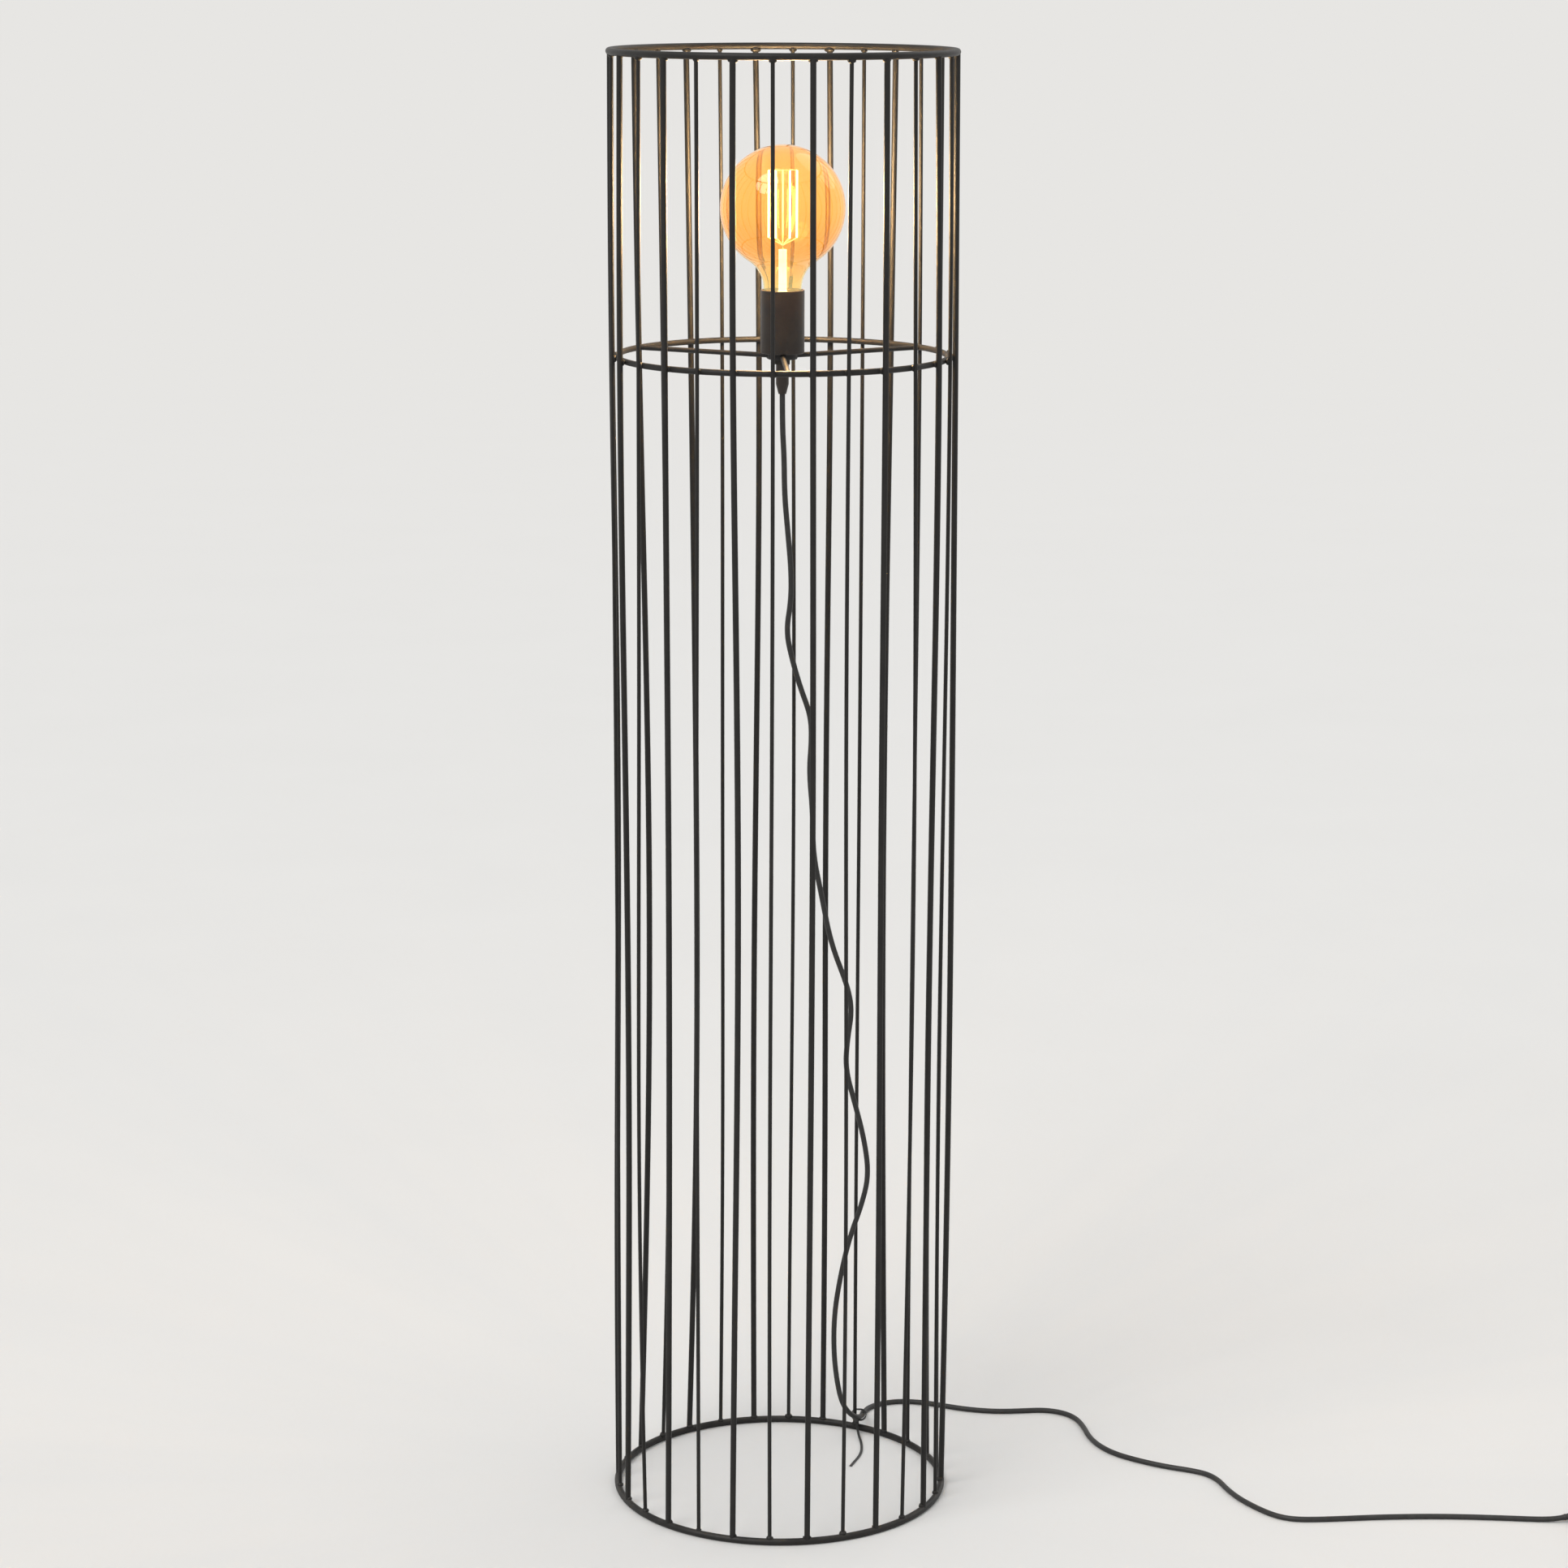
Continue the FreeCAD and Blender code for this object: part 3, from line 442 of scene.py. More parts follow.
def amberGlass():
    look = {
        "thin": solid(1.0, 0.73, 0.37), "deep": solid(0.96, 0.58, 0.22),
        "deepHeights": (1.36, 1.262), "deepShare": 0.6,         # from the globe's belly down to its foot
        "streaks": (1.0, 2.0, 0.5), "streakStretch": (16.0, 16.0, 5.0), "streakShare": 0.3,
        "ripple": (34.0, 1.0, 0.5), "relief": (0.0006, 0.12), "rough": 0.02, "refraction": 1.48,
        # painted glow: the glass is no lamp, yet it glows amber, brightest at the filaments' height and
        # dimmer away from it, with a cream painted glow at the neck
        "glow": solid(1.0, 0.40, 0.06), "dim": solid(0.30, 0.10, 0.01), "strength": 0.13,
        "glowMiddle": 1.362, "dimSpan": (0.02, 0.075),          # a height, and distances from it
        "neckGlow": solid(0.7, 0.9, 0.55), "neckHeights": (1.302, 1.268),
    }
    finish = Finish("amberGlass")
    height = finish.height()
    streaks = finish.noise(look["streaks"], look["streakStretch"])
    deep = look["deepShare"] * finish.spread(height, look["deepHeights"]) + look["streakShare"] * streaks
    # painted glow of the lit filaments on the globe, and a painted cream glow at its neck
    away = finish.spread((height - look["glowMiddle"]).size(), look["dimSpan"])
    neck = finish.spread(height, look["neckHeights"])
    glow = finish.tint(neck, finish.tint(away, look["glow"], look["dim"]), look["neckGlow"])
    finish.surface(
        Base_Color=finish.tint(deep, look["thin"], look["deep"]), Transmission_Weight=1.0,
        Roughness=look["rough"], IOR=look["refraction"],
        Normal=finish.bump(finish.noise(look["ripple"]), look["relief"]),
        Emission_Color=glow, Emission_Strength=look["strength"],
    )
    return finish.material


def stemGlass():
    look = {
        "thin": solid(1.0, 0.93, 0.80), "deep": solid(1.0, 0.86, 0.62),
        "ripple": (150.0, 2.0, 0.5), "relief": (0.0006, 0.3), "rough": 0.05, "refraction": 1.48,
        # painted glow: the clear stem is no lamp, yet it glows white and warm white around the filaments
        "glow": solid(1.0, 1.0, 1.0), "warmGlow": solid(1.0, 0.92, 0.84), "strength": 1.5,
    }
    finish = Finish("stemGlass")
    ripple = finish.noise(look["ripple"])
    finish.surface(
        Base_Color=finish.tint(ripple, look["thin"], look["deep"]), Transmission_Weight=1.0,
        Roughness=look["rough"], IOR=look["refraction"], Normal=finish.bump(ripple, look["relief"]),
        # painted glow of the stem
        Emission_Color=finish.tint(ripple, look["glow"], look["warmGlow"]),
        Emission_Strength=look["strength"],
    )
    return finish.material


def capGlass():
    look = {
        "base": solid(0.008, 0.008, 0.012), "pale": solid(0.02, 0.018, 0.026),
        "swirl": (300.0, 3.0, 0.5), "rough": (0.06, 0.14), "coat": 0.5,
    }
    finish = Finish("capGlass")
    swirl = finish.noise(look["swirl"])
    colour = finish.tint(swirl, look["base"], look["pale"])
    rough = finish.spread(swirl, noiseSpan, look["rough"])
    finish.surface(Base_Color=colour, Roughness=rough, Coat_Weight=look["coat"])
    return finish.material


def filamentGlow():
    look = {
        "base": solid(0.9, 0.62, 0.2), "rough": 0.5, "strength": 1300.0,
        "core": solid(1.0, 0.72, 0.40), "edge": solid(1.0, 0.62, 0.28),
        "beads": (1.0, 2.0, 0.6), "beadStretch": (60.0, 60.0, 700.0), "beadSpan": (0.35, 0.7),
    }
    finish = Finish("filamentGlow")
    beads = finish.spread(finish.noise(look["beads"], look["beadStretch"]), look["beadSpan"])
    finish.surface(
        Base_Color=look["base"], Roughness=look["rough"],
        Emission_Color=finish.tint(beads, look["core"], look["edge"]), Emission_Strength=look["strength"],
    )
    return finish.material


def solderTin():
    look = {
        "base": solid(0.42, 0.42, 0.42), "pale": solid(0.66, 0.66, 0.65),
        "cloud": (700.0, 4.0, 0.6), "relief": (0.0002, 0.5), "rough": (0.32, 0.6),
    }
    finish = Finish("solderTin")
    cloud = finish.noise(look["cloud"])
    finish.surface(
        Base_Color=finish.tint(cloud, look["base"], look["pale"]), Metallic=1.0,
        Roughness=finish.spread(cloud, noiseSpan, look["rough"]),
        Normal=finish.bump(cloud, look["relief"]),
    )
    return finish.material


wirePaint = powderCoat()
blackBakelite = holderPlastic()
blackShell = switchPlastic()
sheath = cordSheath()
nylon = tieNylon()
zinc = turnedMetal("zincPlate", solid(0.60, 0.60, 0.58), solid(0.40, 0.36, 0.28), 0.29, 0.5)
blackSteel = turnedMetal("blackSteel", solid(0.035, 0.033, 0.031), solid(0.06, 0.045, 0.03), 0.31, 0.5)
nickel = turnedMetal("nickelPlate", solid(0.70, 0.68, 0.63), solid(0.46, 0.40, 0.30), 0.17, 0.35)
brassSheet = turnedMetal("brassSheet", solid(0.80, 0.58, 0.26), solid(0.42, 0.24, 0.09), 0.23, 0.6)
glazed = porcelain()
amber = amberGlass()
clearGlass = stemGlass()
blackGlass = capGlass()
glow = filamentGlow()
tin = solderTin()
pinFinish = pinMetal()
finishOf = {
    "threaded_nipple": blackSteel, "lock_nut": blackSteel, "cord_grip": blackBakelite,
    "holder_dome": blackBakelite, "holder_skirt": blackBakelite, "holder_insulator": glazed,
    "terminal_screws": zinc, "holder_screw_shell": brassSheet, "holder_centre_contact": brassSheet,
    "bulb_globe": amber, "bulb_stem": clearGlass, "bulb_filaments": glow, "filament_supports": zinc,
    "bulb_cap": nickel, "cap_insulator": blackGlass, "cap_contact": tin, "cord_tie": nylon,
    "switch_base": blackShell, "switch_cover": blackShell, "switch_button": blackShell,
    "switch_spring": zinc, "plug_body": sheath, "plug_pins": pinFinish,
}
for name, node in cadNodes.items():
    node.data.materials.clear()
    node.data.materials.append(finishOf.get(name, wirePaint))       # the rest is the cage
for name in ("bulb_globe", "bulb_stem"):
    cadNodes[name].visible_shadow = False       # the lamps reach what is behind clear glass
print("finishes on", len(cadNodes), "nodes")


# the cage's rods, each slightly bowed, and its weld beads

def metres(*millimetres):
    return tuple(value / 1000 for value in millimetres)


rodLook = {
    "pairs": 14,
    "firstAngle": 9.54,             # degrees from the front
    "thickCircle": 0.1715, "thinCircle": 0.1705,
    "thickWire": 0.006, "thinWire": 0.004,
    "foot": 0.0035, "height": 1.493,
    "steps": 30, "sides": 16,
    "frontLimit": 0.45,             # cosine of the angle within which rods bow along the ring's tangent
    # millimetres to the right of straight, at a quarter, a half and three quarters of the height
    "thickBows": (
        (1.6, 2.6, 1.4), (0.8, 0.2, 0.8), (0.0, 1.6, 4.0), (3.2, 3.2, 1.8), (-3.2, -1.0, 0.6),
        (-4.6, -5.9, -3.2), (0.6, 0.0, 2.0), (-0.8, 1.7, 4.2), (8.4, 8.6, 5.0), (9.4, 10.8, 4.6),
        (0.8, 3.6, 0.8), (3.2, 2.0, -1.2), (2.2, 2.6, 0.8), (3.6, 5.2, 1.0),
    ),
    "thinBows": (
        (1.2, -1.0, -1.2), (4.4, 6.0, 3.4), (-1.0, 0.4, 2.2), (-2.5, -0.8, 0.9), (-0.6, 0.6, 1.7),
        (-0.4, 0.2, 0.4), (2.0, 3.4, 1.8), (2.5, 2.5, 2.5), (7.6, 7.6, 4.4), (3.2, 3.0, -1.4),
        (0.2, 0.4, -0.6), (-4.8, -3.2, -1.6), (-0.6, -0.8, 0.4), (-0.6, 0.4, 0.8),
    ),
}


# the half waves, one to three along the rod, that pass through the bows
def swellOf(low, middle, high):
    ends = (low + high) / math.sqrt(2)
    return metres((ends + middle) / 2, (low - high) / 2, (ends - middle) / 2)


def rodPlan(look):
    rods = []
    for pair in range(look["pairs"]):
        for kind, step in (("thick", 0.0), ("thin", 0.5)):
            angle = math.radians(look["firstAngle"] + (pair + step) * 360 / look["pairs"])
            slope = math.tan(angle) if math.cos(angle) > look["frontLimit"] else 0.0
            rods.append({
                "node": f"{kind}_rod_{pair + 1:02d}", "angle": angle, "side": (1.0, slope, 0.0),
                "circle": look[kind + "Circle"], "wire": look[kind + "Wire"],
                "swell": swellOf(*look[kind + "Bows"][pair]),
            })
    return rods


def around(radius, angle, height):  # a point of the cage, by its angle from the front
    return Vector((radius * math.sin(angle), -radius * math.cos(angle), height))


def bentRods(look, rods):
    shape = Shape("bentRods", {
        "Height": look["height"], "Foot": look["foot"], "Steps": look["steps"], "Sides": look["sides"],
    })
    top = shape.vector(0.0, 0.0, shape.given("Height"))
    line = shape.node("GeometryNodeCurvePrimitiveLine", None, {"End": top})
    many = shape.copies(shape.evenly(line, shape.given("Steps")))
    height = shape.axis(shape.node("GeometryNodeInputPosition"), "Z")
    turn = (height - shape.given("Foot")) / shape.given("Height") * math.pi
    bow = shape.kept("swellOne") * turn.sine() + shape.kept("swellTwo") * (turn * 2).sine()
    bow = bow + shape.kept("swellThree") * (turn * 3).sine()
    many = shape.moved(many, shape.along(shape.kept("side", "FLOAT_VECTOR"), bow))
    shape.end(shape.sweep(many, shape.kept("wire") / 2, shape.given("Sides")), wirePaint)
    one, two, three = zip(*(rod["swell"] for rod in rods))
    seeds = seedMesh(
        "rodFeet", [tuple(around(rod["circle"], rod["angle"], look["foot"])) for rod in rods],
        side=[rod["side"] for rod in rods], wire=[rod["wire"] for rod in rods],
        swellOne=one, swellTwo=two, swellThree=three,
    )
    return shape.grown("cageRods", seeds)


weldLook = {
    "top": 1.4930, "foot": 0.0070, "endCircle": 0.1705,
    "middle": 1.1965, "middleCircle": 0.1684,
    "armAngles": (2.0, 122.0, 242.0), "armInner": 0.0156, "armOuter": 0.1622,
    "endBead": (0.0015, 0.0031, 0.0026),        # more than half the wire, across, deep and tall
    "middleBead": (0.0012, 0.0019, 0.0033),
    "armBead": (0.0033, 0.0022, 0.0031),        # half of it across, deep and tall
    "lumps": 330.0, "lumpDetail": 2.0, "lumpDepth": 0.0011, "unevenness": 0.22, "seed": 11,
    "subdivisions": 3,
}


def weldPlan(look, rodSizes, rods):     # the place, turn and half sizes of each bead
    beads = []
    phase = (look["middle"] - rodSizes["foot"]) / rodSizes["height"] * math.pi
    for rod in rods:
        half, angle = rod["wire"] / 2, rod["angle"]
        across, deep, tall = look["endBead"]
        for height in (look["top"], look["foot"]):
            beads.append((around(look["endCircle"], angle, height), angle, (half + across, deep, tall)))
        across, deep, tall = look["middleBead"]
        bow = sum(swell * math.sin(phase * wave) for wave, swell in enumerate(rod["swell"], 1))
        place = around(look["middleCircle"], angle, look["middle"]) + Vector(rod["side"]) * bow
        beads.append((place, angle, (half + across, deep, tall)))
    for degrees in look["armAngles"]:
        angle = math.radians(degrees)
        for circle in (look["armInner"], look["armOuter"]):
            beads.append((around(circle, angle, look["middle"]), angle, look["armBead"]))
    return beads


def weldBeads(look, beads):
    shape = Shape("weldBeads", {
        "Lumps": look["lumps"], "Lump Depth": look["lumpDepth"], "Unevenness": look["unevenness"],
        "Seed": look["seed"],
    })
    sockets = {"Radius": 1.0, "Subdivisions": look["subdivisions"]}
    ball = shape.node("GeometryNodeMeshIcoSphere", None, sockets)
    uneven = shape.given("Unevenness")
    limits = {2: 1 - uneven, 3: 1 + uneven, "Seed": shape.given("Seed")}
    growth = shape.node("FunctionNodeRandomValue", {"data_type": "FLOAT"}, limits, output=1)
    size = shape.along(shape.kept("size", "FLOAT_VECTOR"), growth)
    many = shape.copies(ball, Rotation=shape.vector(0.0, 0.0, shape.kept("turn")), Scale=size)
    pattern = {"Scale": shape.given("Lumps"), "Detail": look["lumpDetail"]}
    lumps = shape.node("ShaderNodeTexNoise", None, pattern) - 0.5       # as much in as out
    push = shape.along(shape.node("GeometryNodeInputNormal"), lumps * shape.given("Lump Depth") * 2)
    shape.end(shape.moved(many, push), wirePaint)
    places, turns, sizes = zip(*beads)
    seeds = seedMesh("weldPlaces", [tuple(place) for place in places], turn=turns, size=sizes)
    return shape.grown("cageWelds", seeds)


rods = rodPlan(rodLook)
cageRods = bentRods(rodLook, rods)
cageWelds = weldBeads(weldLook, weldPlan(weldLook, rodLook, rods))
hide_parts(*[rod["node"] for rod in rods])
for piece in (cageRods, cageWelds):
    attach(piece, "lamp")
rodFaces, weldFaces = (len(piece.data.polygons) for piece in (cageRods, cageWelds))
print("rods bent,", rodFaces, "faces, and welded,", weldFaces, "faces")


# cords

def route(*points):                 # in millimetres
    return [metres(*point) for point in points]


cordLook = {
    "diameter": 0.0056,
    "order": 3,                     # of the spline
    "steps": 6,                     # between two of its points
    "roundness": 4,
}
lampRoute = route(
    (0, 0, 1173), (0, 0.5, 1127), (2, 0.7, 1096), (2.5, 1, 1056), (6, 2, 1018), (9.5, 2.5, 979),
    (9.5, 5, 948), (4.5, 7.5, 916), (10.5, 10, 887), (19, 12.5, 857), (30, 15, 827), (31, 17, 800),
    (28.5, 19.5, 768), (32.5, 23, 724), (33, 28, 678), (42, 33.5, 634), (52, 40.5, 580), (70, 47.5, 532),
    (75, 51.5, 504), (70, 55.5, 470), (68.5, 59, 438), (78.5, 64.5, 400), (89, 70.5, 358),
    (94.5, 76.5, 316), (87, 80.5, 281), (74, 86.5, 241), (65, 92.5, 197), (58.5, 98.5, 151),
    (58.5, 104, 103), (63, 109, 66),
    (68, 114.5, 44), (75.5, 121, 30), (83, 130, 22),
    (89.3, 142, 17.5), (91.8, 156, 17), (91.5, 170, 11.6), (92, 181.3, 5.2), (93.3, 193, 2.8),
    (98, 206, 2.8), (108, 217, 2.8), (122, 225, 2.8), (140, 228, 2.8), (162, 224, 2.8),
    (186, 213, 2.8), (212, 202.5, 2.8), (242, 197, 2.8), (270, 199.5, 2.8), (290, 202, 2.8),
    (306.5, 198.5, 2.8), (320.5, 188.5, 2.8), (329.5, 173, 2.8), (335, 149.5, 2.8), (338, 124, 2.8),
    (346, 98, 2.8), (362, 73, 2.8), (386, 53.5, 2.8), (414, 36.5, 2.8), (440, 26, 2.8),
    (457, 15.5, 2.8), (467, -2, 2.8), (473, -26, 2.8), (483, -52, 2.8), (499, -78, 2.8),
    (515, -97.5, 2.8), (531, -106.5, 2.8), (551, -108, 2.8), (585, -105, 2.8), (630, -100, 2.8),
    (690, -98, 2.8), (750, -102, 2.8), (795, -106.5, 2.8), (812, -106.8, 4.9), (828, -106, 8),
    (844, -106.1, 8),
)
coilLook = {
    "lead": route(                  # from the foot switch to the coil
        (912, -106, 8), (926, -106.1, 8), (939.5, -110, 6.4), (951, -119.5, 4.4),
        (958.5, -133, 2.8), (960.8, -150.5, 2.8),
    ),
    "tail": route((905.5, -221.8, 8.4), (898, -221.9, 7.5), (889, -222, 6.9), (877, -222, 6.85)),
    "centre": (0.926, -0.188),
    "outer": 0.0338,                # radius of the outer turns' centreline
    "inner": 0.0282,
    "lower": 0.0028,                # height of the lower layer's centreline
    "upper": 0.0084,
    "pointsPerTurn": 16,
    # two turns in the lower layer, from the outside in, then two and a quarter in the upper one, back out
    "stages": (
        (0.0, "outer", "lower"), (0.94, "outer", "lower"), (1.06, "inner", "lower"),
        (1.94, "inner", "lower"), (2.12, "inner", "upper"), (2.94, "inner", "upper"),
        (3.06, "outer", "upper"), (4.25, "outer", "upper"),
    ),
}


def coilTurns(look):
    stages, middle = look["stages"], look["centre"]
    points = []
    for step in range(int(stages[-1][0] * look["pointsPerTurn"]) + 1):
        turn = step / look["pointsPerTurn"]
        for (before, oldRing, oldLayer), (after, newRing, newLayer) in zip(stages, stages[1:]):
            if before <= turn <= after:
                share = (turn - before) / (after - before)
                radius = look[oldRing] + (look[newRing] - look[oldRing]) * share
                height = look[oldLayer] + (look[newLayer] - look[oldLayer]) * share
        angle = -2 * math.pi * turn             # clockwise from above, starting on the +X side
        x, y = middle[0] + radius * math.cos(angle), middle[1] + radius * math.sin(angle)
        points.append((x, y, height))
    return points


def splineCord(name, look, points):
    data = bpy.data.curves.new(name, "CURVE")
    data.dimensions = "3D"
    spline = data.splines.new("NURBS")
    spline.points.add(len(points) - 1)
    for point, place in zip(spline.points, points):
        point.co = (*place, 1.0)
    spline.order_u = look["order"]
    spline.use_endpoint_u = True
    spline.resolution_u = look["steps"]
    data.resolution_u = look["steps"]
    data.bevel_depth = look["diameter"] / 2
    data.bevel_resolution = look["roundness"]
    data.use_fill_caps = True
    data.materials.append(sheath)
    cord = bpy.data.objects.new(name, data)
    scene.collection.objects.link(cord)
    return cord


def centreLine(cord):
    bare = cord.data.copy()                     # the same spline with no thickness
    bare.bevel_depth = 0.0
    sample = bpy.data.objects.new("sample", bare)
    mesh = bpy.data.meshes.new_from_object(sample)
    points = [tuple(vertex.co) for vertex in mesh.vertices]
    bpy.data.objects.remove(sample)
    bpy.data.curves.remove(bare)
    bpy.data.meshes.remove(mesh)
    return points


def lineLength(points):
    return sum((Vector(b) - Vector(a)).length for a, b in zip(points, points[1:]))


lampCord = splineCord("lampCord", cordLook, lampRoute)
plugCord = splineCord("plugCord", cordLook, coilLook["lead"] + coilTurns(coilLook) + coilLook["tail"])
lampLine = centreLine(lampCord)
plugLine = centreLine(plugCord)


# strain reliefs, ribbed and tapered along the cord

reliefLook = {
    "length": 0.024,
    "switchFaces": (0.836, 0.920),              # where the cord enters and leaves the foot switch
    "switchInset": 0.0008,                      # how far inside the face the relief starts
    "plugFace": 0.866, "plugLine": (-0.222, 0.00685), "plugExtra": 0.002,
    "root": 0.0050, "plugRoot": 0.0058, "tip": 0.0033,
    "ribs": 6, "ribDepth": 0.0008, "ribSharpness": 3, "ribFade": 0.6,
    "steps": 97, "sides": 24,
}


def cutAlong(points, length):       # the first stretch of a line, to a given length
    kept, run = [points[0]], 0.0
    for before, after in zip(points, points[1:]):
        run += (Vector(after) - Vector(before)).length
        kept.append(after)
        if run >= length:
            break
    return kept


def switchStretch(look, points, face, outward):     # the cord outside one end of the foot switch
    for index, point in enumerate(points):
        if (point[0] - face) * outward >= 0:
            start = (face - look["switchInset"] * outward, *point[1:])
            return cutAlong([start] + points[index:], look["length"])
    return points


def plugStretch(look, points):      # the cord outside the plug
    start = (look["plugFace"], *look["plugLine"])
    return cutAlong([start] + points, look["length"] + look["plugExtra"])


def strainRelief(name, look, root, points):
    shape = Shape(name + "Shape", {
        "Root": root, "Tip": look["tip"], "Ribs": look["ribs"], "Rib Depth": look["ribDepth"],
        "Steps": look["steps"], "Sides": look["sides"],
    })
    line = shape.node("GeometryNodeMeshToCurve", None, {"Mesh": shape.given()})
    curve = shape.evenly(line, shape.given("Steps"))
    share = shape.node("GeometryNodeSplineParameter")
    taper = shape.given("Root") + (shape.given("Tip") - shape.given("Root")) * share
    wave = (share * shape.given("Ribs") * (2 * math.pi)).sine() * 0.5 + 0.5
    groove = (1 - wave ** look["ribSharpness"]) * shape.given("Rib Depth") * (1 - share * look["ribFade"])
    shape.end(shape.sweep(curve, taper - groove, shape.given("Sides")), sheath)
    edges = [(index, index + 1) for index in range(len(points) - 1)]
    return shape.grown(name, seedMesh(name + "Line", points, edges))


enter, leave = reliefLook["switchFaces"]
reliefPlan = (
    ("reliefIn", "root", switchStretch(reliefLook, lampLine[::-1], enter, -1)),
    ("reliefOut", "root", switchStretch(reliefLook, plugLine, leave, 1)),
    ("reliefPlug", "plugRoot", plugStretch(reliefLook, plugLine[::-1])),
)
reliefIn, reliefOut, reliefPlug = [
    strainRelief(name, reliefLook, reliefLook[root], points) for name, root, points in reliefPlan
]


# the tie round the coil

coilTieLook = {
    "centre": coilLook["centre"], "circle": 0.031, "angle": 150.0,
    "halfWidth": 0.0059, "top": 0.0114, "foot": 0.0011, "corner": 0.0036, "cornerSteps": 7,
    "thickness": 0.0010, "width": 0.0048, "edge": 0.0002, "edgeSteps": 2,
    "head": (0.0072, 0.0062, 0.0042),           # across the strap, along it and high
    "headShift": -0.001, "headEdge": 0.0007,
    "tail": 0.011, "tailWidth": 0.9, "tailThickness": 0.8,          # the last two are shares of the strap
    "tailShift": (0.0065, 0.0002), "tailTilt": -0.12, "tailEdge": 0.00025,
    "boxEdgeSteps": 3, "boxEdgeProfile": 0.6,
}


def strapOutline(look, grow):       # one closed round of the strap, as distance and height
    half, radius = look["halfWidth"] + grow, look["corner"] + grow
    low, high = look["foot"] - grow, look["top"] + grow
    centres = (
        (half - radius, high - radius), (radius - half, high - radius),
        (radius - half, low + radius), (half - radius, low + radius),
    )
    outline = []
    for quarter, (out, height) in enumerate(centres):
        for step in range(look["cornerSteps"]):
            angle = (quarter + step / (look["cornerSteps"] - 1)) * math.pi / 2
            outline.append((out + radius * math.cos(angle), height + radius * math.sin(angle)))
    return outline


def roundedBox(bm, look, size, matrix, edge):
    made = bmesh.ops.create_cube(bm, size=1.0, matrix=matrix @ Matrix.Diagonal((*size, 1.0)))
    corners = set(made["verts"])
    edges = [e for e in bm.edges if e.verts[0] in corners and e.verts[1] in corners]
    bmesh.ops.bevel(
        bm, geom=edges, offset=edge, segments=look["boxEdgeSteps"], profile=look["boxEdgeProfile"],
        affect="EDGES",
    )


def tieStrap(bm, look):
    rounds = []
    for grow, side in ((0.0, -1), (0.0, 1), (look["thickness"], 1), (look["thickness"], -1)):
        outline = strapOutline(look, grow)
        rounds.append([bm.verts.new((out, side * look["width"] / 2, height)) for out, height in outline])
    count = len(rounds[0])
    for index in range(count):
        after = (index + 1) % count
        for one, other in zip(rounds, rounds[1:] + rounds[:1]):
            bm.faces.new((one[index], one[after], other[after], other[index]))
    bmesh.ops.recalc_face_normals(bm, faces=bm.faces[:])


def tieCoil(look):
    bm = bmesh.new()
    tieStrap(bm, look)
    lift = look["top"] + look["thickness"] / 2 + look["head"][2] / 2
    headPlace = Matrix.Translation((look["headShift"], 0, lift))
    roundedBox(bm, look, look["head"], headPlace, look["headEdge"])
    strip = (look["tail"], look["width"] * look["tailWidth"], look["thickness"] * look["tailThickness"])
    out, up = look["tailShift"]
    tailPlace = Matrix.Translation((out, 0, lift + up)) @ Matrix.Rotation(look["tailTilt"], 4, "Y")
    roundedBox(bm, look, strip, tailPlace, look["tailEdge"])
    angle = math.radians(look["angle"])
    x = look["centre"][0] + look["circle"] * math.cos(angle)
    y = look["centre"][1] + look["circle"] * math.sin(angle)
    bm.transform(Matrix.Translation((x, y, 0)) @ Matrix.Rotation(angle, 4, "Z"))
    mesh = bpy.data.meshes.new("coilTie")
    bm.to_mesh(mesh)
    bm.free()
    mesh.materials.append(nylon)
    mesh.shade_smooth()
    tie = bpy.data.objects.new("coilTie", mesh)
    scene.collection.objects.link(tie)
    bevel = tie.modifiers.new("edges", "BEVEL")
    bevel.width = look["edge"]
    bevel.segments = look["edgeSteps"]
    bevel.harden_normals = True
    return tie


coilTie = tieCoil(coilTieLook)


# the foot switch's spring

springLook = {
    "centre": (0.878, -0.106), "circle": 0.005, "wire": 0.0005,
    "turns": 6.0, "pointsPerTurn": 32, "sides": 8,
    "foot": 0.0025, "travel": 0.003,            # its height, and how far the button goes down
}


def springCoil(look, top):
    tall = top - look["foot"] - 2 * look["wire"]
    shape = Shape("buttonSpring", {
        "Turns": look["turns"], "Circle": look["circle"], "Height": tall, "Wire": look["wire"],
    })
    circle = shape.given("Circle")
    coil = shape.node("GeometryNodeCurveSpiral", None, {
        "Resolution": look["pointsPerTurn"], "Rotations": shape.given("Turns"), "Start Radius": circle,
        "End Radius": circle, "Height": shape.given("Height"),
    })
    foot = (*look["centre"], look["foot"] + look["wire"])
    wire = shape.sweep(coil, shape.given("Wire"), look["sides"])
    shape.end(shape.node("GeometryNodeTransform", None, {"Geometry": wire, "Translation": foot}), zinc)
    return shape.grown("buttonSpring", seedMesh("buttonSpring", [(0.0, 0.0, 0.0)]))


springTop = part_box("switch_spring")[1][2]
buttonSpring = springCoil(springLook, springTop)


# the cords and their pieces hang from the lamp's body, and the model's own cords and spring are hidden

for piece, slot in (
    (lampCord, "cord_sheath"), (plugCord, "cord_sheath"), (reliefIn, "cord_sheath"),
    (reliefOut, "cord_sheath"), (reliefPlug, "cord_sheath"), (coilTie, "tie_nylon"),
    (buttonSpring, "zinc_steel"),
):
    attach(piece, "lamp")
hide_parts("lamp_cord")
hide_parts("coil_lead", "cord_coil", "plug_lead")
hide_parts("switch_spring")
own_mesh(buttonSpring)
switchPieces = [cadNodes[name] for name in ("switch_base", "switch_cover", "switch_button")]
switchPieces.append(buttonSpring)
print(f"cords laid, {lineLength(lampLine):.3f} m and {lineLength(plugLine):.3f} m long")


# floor, wall of light and lamps

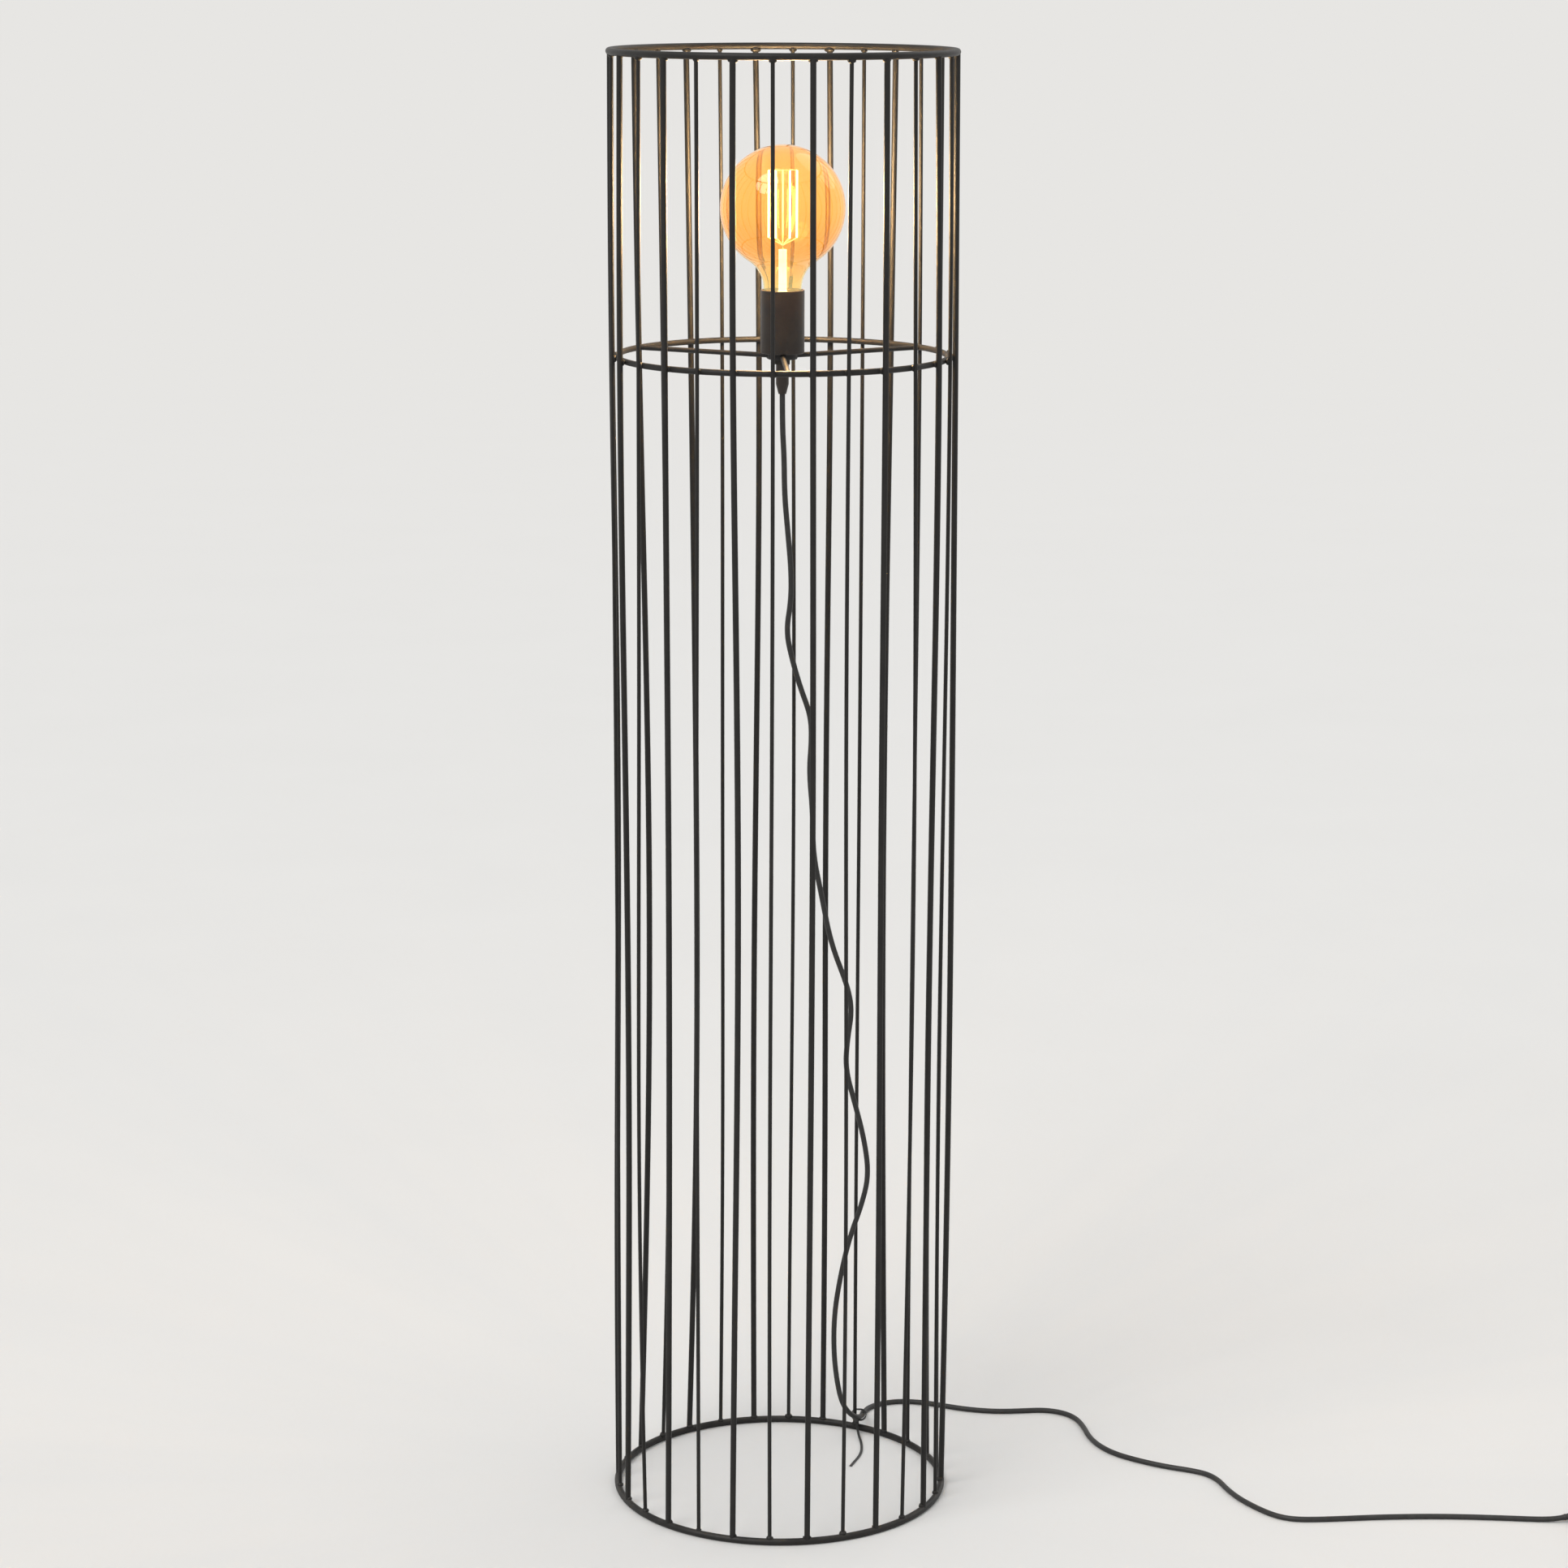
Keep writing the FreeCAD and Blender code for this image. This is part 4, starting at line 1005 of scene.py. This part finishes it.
studio = {
    "floorSize": 300.0,
    "floor": solid(0.80, 0.79, 0.77), "worn": solid(0.76, 0.75, 0.73), "wornShare": 0.25,
    "cloud": (3.0, 4.0, 0.5), "rough": 0.8, "shine": 0.1,
    "fade": (3.0, 12.0),        # from here to there the floor turns into the sky's plain tone
    "skyShown": solid(0.80, 0.79, 0.77),
    "skyLight": solid(0.98, 0.99, 1.0),
    "skyStrength": 0.56,
    "key": {"from": (-2.2, -2.6, 3.6), "softness": 38.0, "strength": 1.55},
    "fill": {"from": (2.6, 2.0, 2.8), "softness": 50.0, "strength": 0.45},
}


def floorPaint(look):
    finish = Finish("floorPaint")
    worn = finish.spread(finish.noise(look["cloud"]), noiseSpan, (0.0, look["wornShare"]))
    paint = finish.surface(
        Base_Color=finish.tint(worn, look["floor"], look["worn"]), Roughness=look["rough"],
        Specular_IOR_Level=look["shine"],
    )
    reach = finish.node("ShaderNodeVectorMath", {"operation": "LENGTH"}, {0: finish.place()}, output=1)
    tone = finish.node("ShaderNodeEmission", None, {"Color": look["skyShown"], "Strength": 1.0})
    far = finish.spread(reach, look["fade"])
    finish.show(finish.node("ShaderNodeMixShader", None, {0: far, 1: paint, 2: tone}))
    return finish.material


def layFloor(look):
    half = look["floorSize"] / 2
    corners = [(-half, -half, 0), (half, -half, 0), (half, half, 0), (-half, half, 0)]
    mesh = bpy.data.meshes.new("floor")
    mesh.from_pydata(corners, [], [(0, 1, 2, 3)])
    mesh.materials.append(floorPaint(look))
    floor = bpy.data.objects.new("floor", mesh)
    scene.collection.objects.link(floor)


def lightSky(look):                 # one tone to light by, another to be seen and mirrored
    world = bpy.data.worlds.new("sky")
    scene.world = world
    world.use_nodes = True
    world.node_tree.nodes.clear()
    sky = Nodes(world.node_tree)
    sockets = {"Color": look["skyLight"], "Strength": look["skyStrength"]}
    light = sky.node("ShaderNodeBackground", None, sockets)
    shown = sky.node("ShaderNodeBackground", None, {"Color": look["skyShown"]})
    camera, mirror, through = (
        sky.node("ShaderNodeLightPath", output=name)
        for name in ("Is Camera Ray", "Is Glossy Ray", "Is Transmission Ray")
    )
    seen = camera.most(mirror).most(through)
    mixed = sky.node("ShaderNodeMixShader", None, {0: seen, 1: light, 2: shown})
    sky.node("ShaderNodeOutputWorld", None, {"Surface": mixed})


def hangLamp(name, look):           # even light from far away, with soft shadows
    data = bpy.data.lights.new(name, "SUN")
    data.angle = math.radians(look["softness"])
    data.energy = look["strength"]
    lamp = bpy.data.objects.new(name, data)
    scene.collection.objects.link(lamp)
    away = Vector(look["from"])
    lamp.matrix_world = Matrix.Translation(away) @ away.to_track_quat("Z", "Y").to_matrix().to_4x4()


layFloor(studio)
lightSky(studio)
for name in ("key", "fill"):
    hangLamp(name, studio[name])
scene.view_settings.view_transform = "Standard"
print("floor and lamps in place")
